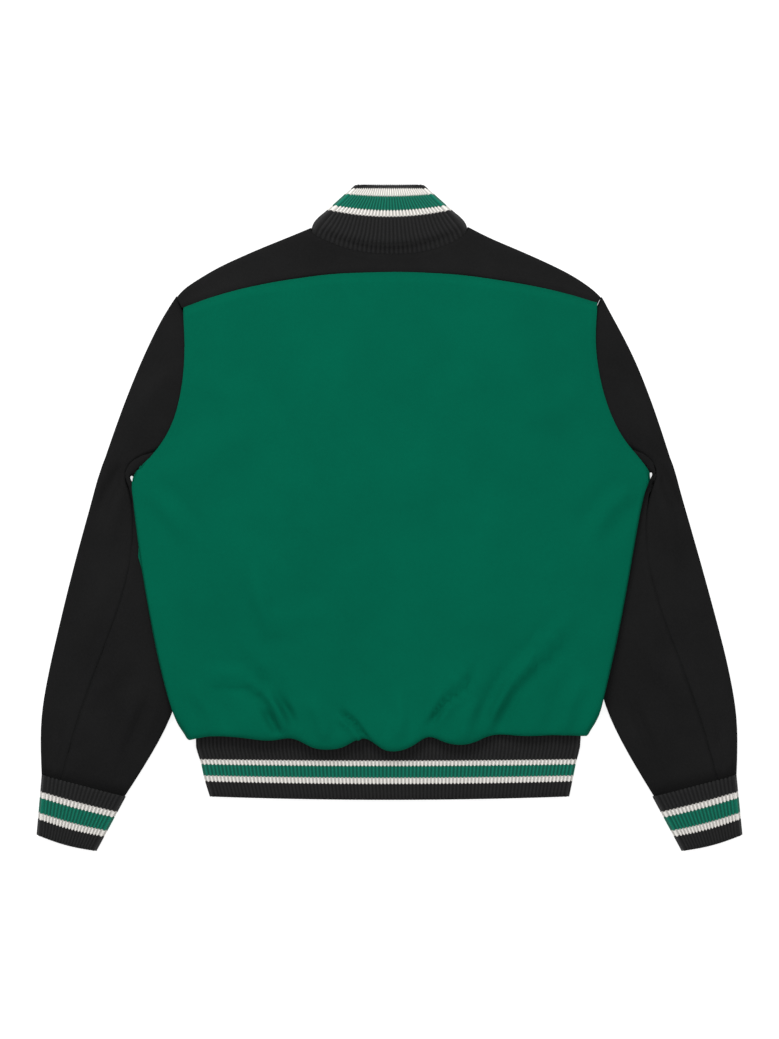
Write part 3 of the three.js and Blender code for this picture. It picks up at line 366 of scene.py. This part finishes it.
def coordinates(data):
    flat = np.empty(len(data.vertices) * 3)
    data.vertices.foreach_get("co", flat)
    return flat.reshape(-1, 3)


def put_coordinates(data, points):
    data.vertices.foreach_set("co", points.ravel())
    data.update()


def vertex_normals(data):
    flat = np.empty(len(data.vertices) * 3)
    data.vertex_normals.foreach_get("vector", flat)
    return flat.reshape(-1, 3)


def open_edges(data):
    """Index pairs of the edges on the sheet's border."""
    used = np.zeros(len(data.edges), dtype=int)
    loops = np.empty(len(data.loops), dtype=int)
    data.loops.foreach_get("edge_index", loops)
    np.add.at(used, loops, 1)
    ends = np.empty(len(data.edges) * 2, dtype=int)
    data.edges.foreach_get("vertices", ends)
    return ends.reshape(-1, 2)[used == 1]


def border_distance(data, points):
    """How far each vertex is from the sheet's border."""
    border = np.unique(open_edges(data))
    tree = KDTree(len(border))
    for k, index in enumerate(border):
        tree.insert(points[index], k)
    tree.balance()
    return np.array([tree.find(point)[2] for point in points])


def smoothed(data, points, times, fixed):
    """Points evened out over their neighbours, with the border kept."""
    ends = np.empty(len(data.edges) * 2, dtype=int)
    data.edges.foreach_get("vertices", ends)
    ends = ends.reshape(-1, 2)
    count = np.zeros(len(points))
    np.add.at(count, ends[:, 0], 1)
    np.add.at(count, ends[:, 1], 1)
    for _ in range(times):
        total = np.zeros_like(points)
        np.add.at(total, ends[:, 0], points[ends[:, 1]])
        np.add.at(total, ends[:, 1], points[ends[:, 0]])
        points = np.where(fixed[:, None], points, 0.5 * points + 0.5 * total / count[:, None])
    return points


def grown(data, points, reach):
    """Points with the sheet's border moved out in plan, so that the seams close."""
    ends = np.empty(len(data.edges) * 2, dtype=int)
    data.edges.foreach_get("vertices", ends)
    ends = ends.reshape(-1, 2)
    border = np.zeros(len(points), dtype=bool)
    border[np.unique(open_edges(data))] = True
    pull = np.zeros((len(points), 2))
    for a, b in ((0, 1), (1, 0)):
        inner = border[ends[:, a]] & ~border[ends[:, b]]
        np.add.at(pull, ends[inner, a], points[ends[inner, a], :2] - points[ends[inner, b], :2])
    length = np.linalg.norm(pull, axis=1, keepdims=True)
    moved = points.copy()
    moved[:, :2] += np.where(length > 0, pull / np.maximum(length, 1e-9), 0) * reach[:, None]
    return moved


def line_distance(points, line):
    """The signed distance to a polyline in plan, and how far along it each point is, 0 to 1."""
    line = np.array(line, dtype=float)
    lengths = np.linalg.norm(np.diff(line, axis=0), axis=1)
    starts = np.concatenate(([0], np.cumsum(lengths)))
    best = np.full(len(points), np.inf)
    side = np.zeros(len(points))
    along = np.zeros(len(points))
    for k, length in enumerate(lengths):
        step = (line[k + 1] - line[k]) / length
        offset = points - line[k]
        t = np.clip(offset @ step, 0, length)
        gap = np.linalg.norm(offset - t[:, None] * step, axis=1)
        nearer = gap < best
        best = np.where(nearer, gap, best)
        side = np.where(nearer, np.sign(offset[:, 0] * step[1] - offset[:, 1] * step[0]), side)
        along = np.where(nearer, (starts[k] + t) / starts[-1], along)
    return best * side, along


def smooth_step(start, end, value):
    t = np.clip((value - start) / (end - start), 0, 1)
    return t * t * (3 - 2 * t)


def crease_height(plan, creases):
    """The height of listed creases over plan points in mm."""
    total = np.zeros(len(plan))
    for line, width, height, left_bank, right_bank in creases:
        across, along = line_distance(plan, line)
        taper = smooth_step(-0.02, 0.22, along) * (1 - smooth_step(0.72, 1.02, along))
        core = height * np.exp(-((across / width) ** 2))
        bank = np.where(across < 0, left_bank, right_bank)
        beside = bank * np.exp(-(((np.abs(across) - 2.1 * width) / (1.1 * width)) ** 2))
        total += taper * (core + beside)
    return total


def soft_noise(plan, pitch, seed):
    """A smooth random height, from -1 to 1, with a pitch in mm."""
    rng = np.random.default_rng(seed)
    waves = np.zeros(len(plan))
    for _ in range(14):
        angle = rng.uniform(0, math.pi)
        length = pitch * rng.uniform(0.7, 1.6)
        phase = rng.uniform(0, 2 * math.pi)
        waves += np.sin((plan @ (math.cos(angle), math.sin(angle))) * 2 * math.pi / length + phase)
    return waves / 14 * 1.6


def cloth_on(node, name, material, levels, thickness, creases=(), mirror=1, swell=0.5, seam=0.7, seed=1,
             facing_down=False):
    """A thin shell of cloth on a node's outer form, with listed creases."""
    data = subdivided(outer_skin(node, facing_down), levels)
    points = coordinates(data)
    border = np.unique(open_edges(data))
    fixed = np.zeros(len(points), dtype=bool)
    fixed[border] = True
    points = smoothed(data, points, 3, fixed)
    put_coordinates(data, points)
    normals = vertex_normals(data)
    plan = points[:, :2] / MM * (mirror, 1)
    away = border_distance(data, points) / MM
    inside = smooth_step(1, 16, away)
    cloth = settings("cloth")
    height = cloth.crease_depth * crease_height(plan, creases) * smooth_step(0.5, 9, away)
    height += swell * (soft_noise(plan, 90, seed) + 0.5 * soft_noise(plan, 38, seed + 1)) * inside
    height -= seam * (1 - smooth_step(0, 2.6, away))
    ridge = SEAM_RIDGE
    height += ridge["height"] * np.exp(-(((away - ridge["away"]) / ridge["half_width"]) ** 2))
    upward = smooth_step(0.15, 0.6, normals[:, 2])
    resting = (points[:, 2] < 0.0008) & (normals[:, 2] < -0.5)
    height = np.where(resting, 0, height * np.maximum(upward, 0.15))
    points = points + normals * (height * MM)[:, None]
    from_underarm = np.linalg.norm(np.abs(points[:, :2]) / MM - UNDERARM, axis=1)
    more = cloth.underarm_growth * (1 - smooth_step(6, 16, from_underarm))
    points = grown(data, points, (cloth.seam_growth + more) * MM)
    points[:, 2] = np.maximum(points[:, 2], 0)
    put_coordinates(data, points)
    return closed_shell(data, name, material, thickness)


def closed_shell(data, name, material, thickness):
    """A sheet given its thickness towards its inside, as a finished piece."""
    obj = bpy.data.objects.new(name, data)
    bpy.context.collection.objects.link(obj)
    modifier = obj.modifiers.new("thickness", "SOLIDIFY")
    modifier.thickness = thickness * MM
    modifier.offset = -1
    modifier.use_even_offset = False
    solid = evaluated(obj)
    obj.modifiers.clear()
    obj.data = solid
    finish_piece(obj, material)
    return obj


def finish_piece(obj, material):
    obj.data.name = obj.name
    obj.data.materials.clear()
    obj.data.materials.append(material)
    for polygon in obj.data.polygons:
        polygon.use_smooth = True
    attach(obj, "root")


# Rib knit.


def rib_profile(count):
    """The height of a rib, 0 in the groove and 1 on the crest, where count is in ribs."""
    return 1 - np.abs(np.cos(math.pi * np.asarray(count))) ** 2.6


def grid_normals(grid, wrap):
    """Unit normals of a grid of points, columns by rows."""
    if wrap:
        across = np.roll(grid, -1, axis=0) - np.roll(grid, 1, axis=0)
    else:
        across = np.gradient(grid, axis=0)
    along = np.gradient(grid, axis=1)
    normals = np.cross(across, along)
    return normals / np.maximum(np.linalg.norm(normals, axis=2, keepdims=True), 1e-12)


def knit_shell(name, grid, relief, uv, thickness, inward, wrap, material):
    """A closed rib piece from a grid in mm: relief moves its outer points out, uv goes to the
    map that the knit is drawn by."""
    normals = grid_normals(grid, wrap) * inward
    outer = grid - normals * relief[:, :, None]
    inner = grid + normals * thickness
    inner[:, :, 2] = np.maximum(inner[:, :, 2], 0.2)
    outer[:, :, 2] = np.maximum(outer[:, :, 2], 0)
    columns, rows = grid.shape[:2]
    points = np.concatenate((outer.reshape(-1, 3), inner.reshape(-1, 3))) * MM
    index = np.arange(columns * rows).reshape(columns, rows)
    spans = columns if wrap else columns - 1
    a = index[np.arange(spans)][:, :-1]
    b = index[(np.arange(spans) + 1) % columns][:, :-1]
    c = index[(np.arange(spans) + 1) % columns][:, 1:]
    d = index[np.arange(spans)][:, 1:]
    quads = np.stack((a, b, c, d), axis=2).reshape(-1, 4)
    back = quads[:, ::-1] + columns * rows
    rims = []
    following = [(k + 1) % columns for k in range(spans)]
    for k, after in enumerate(following):
        for row, flip in ((0, False), (rows - 1, True)):
            p, q = index[k, row], index[after, row]
            rim = (q, p, p + columns * rows, q + columns * rows)
            rims.append(rim[::-1] if flip else rim)
    if not wrap:
        for row in range(rows - 1):
            for column, flip in ((0, False), (columns - 1, True)):
                p, q = index[column, row], index[column, row + 1]
                rim = (p, q, q + columns * rows, p + columns * rows)
                rims.append(rim[::-1] if flip else rim)
    faces = np.concatenate((quads, back, np.array(rims)))
    data = bpy.data.meshes.new(name)
    data.from_pydata(points.tolist(), [], faces.tolist())
    data.validate()
    both = np.concatenate((uv.reshape(-1, 2), uv.reshape(-1, 2)))
    layer = data.uv_layers.new(name="knit")
    corners = np.empty(len(data.loops), dtype=int)
    data.loops.foreach_get("vertex_index", corners)
    layer.data.foreach_set("uv", both[corners].ravel())
    shell = bmesh.new()
    shell.from_mesh(data)
    bmesh.ops.recalc_face_normals(shell, faces=shell.faces)
    if shell.calc_volume(signed=True) < 0:
        bmesh.ops.reverse_faces(shell, faces=shell.faces)
    shell.to_mesh(data)
    shell.free()
    obj = bpy.data.objects.new(name, data)
    bpy.context.collection.objects.link(obj)
    finish_piece(obj, material)
    return obj


def fold_arc(base, height, count):
    """Points round a fold, from its top to its bottom: inset from the fold's line, and height."""
    radius = (height - base) / 2
    angles = np.pi * (0.5 - np.linspace(0, 1, count + 1))
    return [(radius * (1 - math.cos(a)), base + radius * (1 + math.sin(a))) for a in angles]


def waistband_piece(material):
    values = settings("waistband")
    per_rib = values.samples_per_rib
    arc_steps = 16
    grid, ribs, flat = [], [], []
    rows = np.linspace(0, 1, values.rows)
    keys = [row[0] for row in WAISTBAND_SIDE][::-1]
    for k, part in enumerate(rows):
        y = WAISTBAND["top"] + (WAISTBAND["bottom"] - WAISTBAND["top"]) * part
        left = np.interp(y, keys, [row[1] for row in WAISTBAND_SIDE][::-1])
        right = np.interp(y, keys, [row[2] for row in WAISTBAND_SIDE][::-1])
        arc = fold_arc(0, WAISTBAND["height"], arc_steps)
        inset = arc[0][0]
        points, count, down = [], [], []

        def push(x, z, rib, under):
            reach = left if x < 0 else right
            lift = WAISTBAND["smile"] * part * (x / reach) ** 2
            points.append((x, y + lift, z))
            count.append(rib)
            down.append(under)

        pitch = (left + right - 2 * inset) / WAISTBAND["ribs"]
        samples = int(WAISTBAND["ribs"] / 2 * 6)
        for t in np.linspace(0, 1, samples, endpoint=False):
            x = PLACKET_REACH + (-left + inset - PLACKET_REACH) * t
            push(x, 0, (-left + inset - x) / pitch - 4, True)
        for n, (depth, z) in enumerate(arc[::-1][:-1]):
            push(-left + depth, z, 4 * n / arc_steps - 4, n < arc_steps / 2)
        spans = WAISTBAND["ribs"] * per_rib
        for n in range(spans + 1):
            across = -left + inset + (left + right - 2 * inset) * n / spans
            push(across, WAISTBAND["height"], n / per_rib, False)
        for n, (depth, z) in enumerate(arc[1:], start=1):
            push(right - depth, z, WAISTBAND["ribs"] + 4 * n / arc_steps, n > arc_steps / 2)
        start = right - inset
        for t in np.linspace(0, 1, samples)[1:]:
            x = start + (-PLACKET_REACH - start) * t
            rise = 1 - float(smooth_step(PLACKET_STEP[1], PLACKET_STEP[0], np.array(x)))
            push(x, (RIB_WALL + 0.3) * rise, WAISTBAND["ribs"] + 4 + (start - x) / pitch, True)
        grid.append(points)
        ribs.append(count)
        flat.append(down)
    grid = np.array(grid).transpose(1, 0, 2)
    ribs = np.array(ribs).T
    under = np.array(flat).T
    length = (WAISTBAND["top"] - WAISTBAND["bottom"]) * (1 - rows)
    uv = np.stack((ribs, np.broadcast_to(length, ribs.shape)), axis=2)
    height = rib_profile(ribs) * RIB_RELIEF
    relief = np.where(under, height - RIB_RELIEF, height)
    return knit_shell("waistband_knit", grid, relief, uv, KNIT_WALL, 1, False, material)


def cuff_piece(side, material):
    values = settings("cuffs")
    sign = SIDES[side]
    grid, ribs, flat = [], [], []
    rows = np.linspace(0, 1, values.rows)
    arc_steps = 12
    for part in rows:
        edges = CUFF_EDGES[side]
        outer = np.array(edges["seam"][0]) * (1 - part) + np.array(edges["free"][0]) * part
        inner = np.array(edges["seam"][1]) * (1 - part) + np.array(edges["free"][1]) * part
        width = np.linalg.norm(outer - inner)
        arc = fold_arc(0, CUFF["fold"], arc_steps)
        fold = arc[0][0] / width
        points, count, down = [], [], []

        def push(across, z, rib, under):
            reach, y = outer * (1 - across) + inner * across
            points.append((sign * reach, y - 2.5 * part * math.sin(math.pi * across), z))
            count.append(rib)
            down.append(under)

        spans = CUFF["ribs"] * values.samples_per_rib
        for n in range(spans + 1):
            arch = (CUFF["middle"] - CUFF["fold"]) * math.sin(math.pi * n / spans)
            push(fold + (1 - 2 * fold) * n / spans, CUFF["fold"] + arch, n / values.samples_per_rib, False)
        for n, (inset, z) in enumerate(arc[1:], start=1):
            push(1 - inset / width, z, CUFF["ribs"] + 3 * n / arc_steps, n > arc_steps / 2)
        for n in range(1, spans):
            rib = CUFF["ribs"] + 3 + n / values.samples_per_rib
            push(1 - fold - (1 - 2 * fold) * n / spans, 0, rib, True)
        for n, (inset, z) in enumerate(arc[::-1][:-1]):
            push(inset / width, z, 2 * CUFF["ribs"] + 3 + 3 * n / arc_steps, n < arc_steps / 2)
        grid.append(points)
        ribs.append(count)
        flat.append(down)
    grid = np.array(grid).transpose(1, 0, 2)
    ribs = np.array(ribs).T
    under = np.array(flat).T
    length = 68 * (1 - rows)
    uv = np.stack((ribs, np.broadcast_to(length, ribs.shape)), axis=2)
    height = rib_profile(ribs) * RIB_RELIEF
    relief = np.where(under, height - RIB_RELIEF, height)
    name = f"cuff_{side}_knit"
    return knit_shell(name, grid, relief, uv, KNIT_WALL, -sign, True, material)


def fine_rows(table, per_row):
    """Rows of a table made finer with a smooth curve through them."""
    table = np.array(table, dtype=float)
    padded = np.vstack((2 * table[0] - table[1], table, 2 * table[-1] - table[-2]))
    fine = []
    for k in range(len(table) - 1):
        p0, p1, p2, p3 = padded[k : k + 4]
        for t in np.linspace(0, 1, per_row, endpoint=False):
            fine.append(
                0.5 * (2 * p1 + (p2 - p0) * t + (2 * p0 - 5 * p1 + 4 * p2 - p3) * t * t
                       + (3 * p1 - p0 - 3 * p2 + p3) * t ** 3)
            )
    fine.append(table[-1])
    return np.array(fine)


def collar_piece(material):
    values = settings("collar")
    table = fine_rows(COLLAR_ROWS, values.samples_per_row)
    table[:, 5] = np.maximum(table[:, 5], 0)
    grid, ribs, flat = [], [], []
    arc_steps = 12
    half = arc_steps // 2
    front_ribs = 24
    for row in table:
        middle_y, crest, side_reach, side_y, side_top, base, front_y = row
        width = 2 * side_reach
        front_length = side_y - front_y + side_reach * 0.6
        arc = fold_arc(base, side_top, arc_steps)
        points, count, down = [], [], []

        def top(across, z, rib):
            smile = 1 - (2 * across - 1) ** 2
            x = -side_reach + width * across
            points.append((x, side_y + (middle_y - side_y) * smile, z))
            count.append(rib)
            down.append(False)

        def front(sign, t, z, rib):
            control = (0.86 * side_reach, front_y + 15)
            bend = ((1 - t) ** 2, 2 * t * (1 - t), t * t)
            reach = bend[0] * side_reach + bend[1] * control[0] + bend[2] * 1
            y = bend[0] * side_y + bend[1] * control[1] + bend[2] * front_y
            settled = base * (1 - float(smooth_step(0.3, 0.5, np.array(t))))
            points.append((sign * reach, y, settled if z is None else z))
            count.append(rib)
            down.append(True)

        lower = [(inset / front_length, z) for inset, z in arc[half + 1 :]]
        start = lower[-1][0]
        front_steps = front_ribs * 6
        places = np.linspace(start, 1, front_steps + 1)[1:]
        for n, t in enumerate(places[::-1]):
            front(-1, t, None, -3 - front_ribs + n / 6)
        for n, (t, z) in enumerate(lower[::-1]):
            front(-1, t, z, -3 + 1.5 * n / half)
        for n, (inset, z) in enumerate(arc[: half + 1][::-1]):
            top(inset / width, z, -1.5 + 1.5 * n / half)
        fold = arc[0][0] / width
        spans = COLLAR_RIBS * values.samples_per_rib
        for k in range(1, spans):
            across = fold + (1 - 2 * fold) * k / spans
            arch = math.sin(math.pi * k / spans) ** 0.6
            top(across, side_top + (crest - side_top) * arch, k / values.samples_per_rib)
        for n, (inset, z) in enumerate(arc[: half + 1]):
            top(1 - inset / width, z, COLLAR_RIBS + 1.5 * n / half)
        for n, (t, z) in enumerate(lower):
            front(1, t, z, COLLAR_RIBS + 1.5 + 1.5 * (n + 1) / half)
        for n, t in enumerate(places):
            front(1, t, None, COLLAR_RIBS + 3 + (n + 1) / 6)
        grid.append(points)
        ribs.append(count)
        flat.append(down)
    grid = np.array(grid).transpose(1, 0, 2)
    ribs = np.array(ribs).T
    under = np.array(flat).T
    middle = table[:, :2]
    lengths = np.linalg.norm(np.diff(middle, axis=0), axis=1)
    from_edge = np.concatenate(([0], np.cumsum(lengths[::-1])))[::-1]
    uv = np.stack((ribs, np.broadcast_to(from_edge, ribs.shape)), axis=2)
    shown = smooth_step(0.02, 0.2, np.linspace(0, 1, len(table)))
    height = rib_profile(ribs) * RIB_RELIEF * shown
    relief = np.where(under, height - RIB_RELIEF * shown, height)
    return knit_shell("collar_knit", grid, relief, uv, KNIT_WALL, -1, False, material)


# Settings, operators and panel.


class JacketCloth(bpy.types.PropertyGroup):
    """Wool panels and sleeves."""

    green: FloatVectorProperty(name="Green", description="Colour of the body's wool", subtype="COLOR",
                               default=(0.0002, 0.106, 0.0595))
    black: FloatVectorProperty(name="Black", description="Colour of the yoke and sleeves", subtype="COLOR",
                               default=(0.011, 0.011, 0.0111))
    thickness: FloatProperty(name="Thickness",
                             description="Cloth thickness in mm",
                             default=1.6, min=0.5, max=3)
    fineness: IntProperty(name="Fineness",
                          description="Subdivision of the panels",
                          default=2, min=1, max=3)
    crease_depth: FloatProperty(name="Crease depth",
                                description="Scale of the hand-placed creases",
                                default=2.2,
                                min=0, max=3)
    seam_growth: FloatProperty(name="Seam growth", description="How far each piece's border grows in mm",
                               default=0.75, min=0, max=2)
    underarm_growth: FloatProperty(name="Underarm growth", description="Further growth by the underarms in mm",
                                   default=2.6, min=0, max=5)


class JacketWaistband(bpy.types.PropertyGroup):
    """Rib waistband."""

    samples_per_rib: IntProperty(name="Samples per rib",
                                 description="Columns across one rib",
                                 default=8, min=4)
    rows: IntProperty(name="Rows",
                      description="Rows from the hem to the free edge",
                      default=13, min=3)


class JacketCuffs(bpy.types.PropertyGroup):
    """Rib cuffs."""

    samples_per_rib: IntProperty(name="Samples per rib",
                                 description="Columns across one rib",
                                 default=10, min=4)
    rows: IntProperty(name="Rows",
                      description="Rows from the sleeve to the free edge",
                      default=15, min=3)


class JacketCollar(bpy.types.PropertyGroup):
    """Rib collar."""

    samples_per_rib: IntProperty(name="Samples per rib",
                                 description="Columns across one rib",
                                 default=8, min=4)
    samples_per_row: IntProperty(name="Samples per row", description="Rows between two rows of the table",
                                 default=6, min=2)


class JacketStage(bpy.types.PropertyGroup):
    """Floor, lights and camera."""

    camera_height: FloatProperty(name="Camera height",
                                 description="Camera over the floor",
                                 default=4,
                                 subtype="DISTANCE")
    camera_shift: FloatProperty(name="Camera shift",
                                description="Camera towards the hem in mm",
                                default=2.4)
    key_power: FloatProperty(name="Key power",
                             description="Power of the main soft light in watts",
                             default=52)
    fill_power: FloatProperty(name="Fill power",
                              description="Power of the overhead fill in watts",
                              default=26)
    surround: FloatProperty(name="Surround",
                            description="Strength of the pale surround",
                            default=0.45)
    floor_glow: FloatProperty(name="Floor glow", description="Light of the floor itself, as of a light table",
                              default=0.75)


MATERIALS = {}


def material(name):
    """One of the jacket's materials, made at its first use."""
    if name in MATERIALS:
        return MATERIALS[name]
    cloth = settings("cloth")
    green, black = tuple(cloth.green), tuple(cloth.black)
    if name == "green_wool":
        made = wool_material(name, green, 0.14, 0.0)
    elif name == "black_wool":
        made = wool_material(name, black, 0.3, 0.0)
    elif name == "snap_metal":
        made = metal_material(name, (0.01, 0.01, 0.011))
    else:
        stripes = STRIPES[name.split("_")[0]]
        made = rib_material(name, stripes, (0.0155, 0.0155, 0.0158), (0.003, 0.17, 0.108), (0.9, 0.87, 0.82))
    MATERIALS[name] = made
    return made


class JACKET_OT_body(bpy.types.Operator):
    """Make the wool body: back, yoke and the two fronts."""

    bl_idname = "jacket.body"
    bl_label = "Wool body"

    def execute(self, context):
        cloth = settings("cloth")
        fine = cloth.fineness
        thick = cloth.thickness
        green, black = material("green_wool"), material("black_wool")
        back = cloth_on("back_panel", "back_cloth", green, fine, thick, BACK_CREASES, seed=3)
        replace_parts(back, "back_panel")
        yoke = cloth_on("yoke", "yoke_cloth", black, fine, thick, seed=5, swell=0.3)
        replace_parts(yoke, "yoke")
        for side, sign in SIDES.items():
            name = f"front_{side}"
            front = cloth_on(
                name, name + "_cloth", green, fine, thick, FRONT_CREASES, sign, 0.4,
                facing_down=True,
            )
            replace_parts(front, name)
        return {"FINISHED"}


class JACKET_OT_sleeves(bpy.types.Operator):
    """Make the four wool pieces of the sleeves."""

    bl_idname = "jacket.sleeves"
    bl_label = "Wool sleeves"

    def execute(self, context):
        cloth = settings("cloth")
        black = material("black_wool")
        for side, sign in SIDES.items():
            for piece, seed in (("upper", 11), ("under", 12)):
                node = f"sleeve_{side}_{piece}"
                sleeve = cloth_on(
                    node, node + "_cloth", black, cloth.fineness, cloth.thickness,
                    SLEEVE_CREASES, sign, 0.5, seed=seed,
                )
                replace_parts(sleeve, node)
        return {"FINISHED"}


class JACKET_OT_ribs(bpy.types.Operator):
    """Make the rib pieces: waistband, cuffs and collar."""

    bl_idname = "jacket.ribs"
    bl_label = "Rib knit"

    def execute(self, context):
        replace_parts(waistband_piece(material("waistband_rib")), "waistband")
        for side in SIDES:
            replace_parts(cuff_piece(side, material("cuff_rib")), f"cuff_{side}")
        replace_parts(collar_piece(material("collar_rib")), "collar")
        return {"FINISHED"}


class JACKET_OT_snaps(bpy.types.Operator):
    """Give the snap caps their lacquered metal."""

    bl_idname = "jacket.snaps"
    bl_label = "Snap caps"

    def execute(self, context):
        for name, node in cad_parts.items():
            if name.startswith("snap_"):
                for slot in node.material_slots:
                    slot.material = material("snap_metal")
        return {"FINISHED"}


class JACKET_OT_stage(bpy.types.Operator):
    """Make the pale floor, the soft lights and the camera over the jacket."""

    bl_idname = "jacket.stage"
    bl_label = "Stage"

    def execute(self, context):
        values = settings("stage")
        floor_data = bpy.data.meshes.new("floor")
        size = 6
        drop = -0.0005
        corners = [(-size, -size, drop), (size, -size, drop), (size, size, drop), (-size, size, drop)]
        floor_data.from_pydata(corners, [], [(0, 1, 2, 3)])
        floor = bpy.data.objects.new("floor", floor_data)
        bpy.context.collection.objects.link(floor)
        shader = Shader("pale_floor")
        shader.set(Base_Color=(0.5, 0.5, 0.5, 1), Roughness=0.9)
        shader.set(Emission_Color=(1, 1, 1, 1), Emission_Strength=values.floor_glow)
        shader.principled.inputs["Specular IOR Level"].default_value = 0
        floor_data.materials.append(shader.material)

        world = bpy.data.worlds.new("surround")
        world.use_nodes = True
        background = world.node_tree.nodes["Background"]
        background.inputs["Color"].default_value = (1, 1, 1, 1)
        background.inputs["Strength"].default_value = values.surround
        bpy.context.scene.world = world
        bpy.context.scene.view_settings.view_transform = "Standard"
        self.area_light("key", (-0.5, 2.1, 2.0), 1.4, values.key_power)
        self.area_light("fill", (0.2, -0.4, 3.0), 2.6, values.fill_power)

        camera_data = bpy.data.cameras.new("camera")
        camera_data.sensor_fit = "VERTICAL"
        camera_data.sensor_height = 36
        framed = PHOTO["height"] * PHOTO["mm_per_pixel"] * MM
        camera_data.lens = 36 * values.camera_height / framed
        camera = bpy.data.objects.new("camera", camera_data)
        camera.location = (0, -values.camera_shift * MM, values.camera_height)
        bpy.context.collection.objects.link(camera)
        bpy.context.scene.camera = camera
        return {"FINISHED"}

    @staticmethod
    def area_light(name, place, size, power):
        light_data = bpy.data.lights.new(name, "AREA")
        light_data.shape = "DISK"
        light_data.size = size
        light_data.energy = power
        light = bpy.data.objects.new(name, light_data)
        light.location = place
        light.rotation_euler = (-Vector(place)).to_track_quat("-Z", "Y").to_euler()
        bpy.context.collection.objects.link(light)


GROUPS = {
    "cloth": JacketCloth,
    "waistband": JacketWaistband,
    "cuffs": JacketCuffs,
    "collar": JacketCollar,
    "stage": JacketStage,
}
OPERATORS = (JACKET_OT_body, JACKET_OT_sleeves, JACKET_OT_ribs, JACKET_OT_snaps, JACKET_OT_stage)


class JACKET_PT_panel(bpy.types.Panel):
    """Settings and buttons for each part of the jacket."""

    bl_label = "Varsity jacket"
    bl_idname = "JACKET_PT_panel"
    bl_space_type = "VIEW_3D"
    bl_region_type = "UI"
    bl_category = "Jacket"

    def draw(self, context):
        for name, group in GROUPS.items():
            box = self.layout.box()
            box.label(text=group.__doc__)
            for prop in group.__annotations__:
                box.prop(settings(name), prop)
        for operator in OPERATORS:
            self.layout.operator(operator.bl_idname)


def register():
    for group in GROUPS.values():
        bpy.utils.register_class(group)
    for name, group in GROUPS.items():
        setattr(bpy.types.Scene, "jacket_" + name, PointerProperty(type=group))
    for cls in (*OPERATORS, JACKET_PT_panel):
        bpy.utils.register_class(cls)


def unregister():
    for cls in (*OPERATORS, JACKET_PT_panel):
        bpy.utils.unregister_class(cls)
    for name in GROUPS:
        delattr(bpy.types.Scene, "jacket_" + name)
    for group in GROUPS.values():
        bpy.utils.unregister_class(group)


def main():
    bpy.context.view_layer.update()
    register()
    bpy.ops.jacket.body()
    bpy.ops.jacket.sleeves()
    bpy.ops.jacket.ribs()
    bpy.ops.jacket.snaps()
    bpy.ops.jacket.stage()


if __name__ == "__main__":
    main()
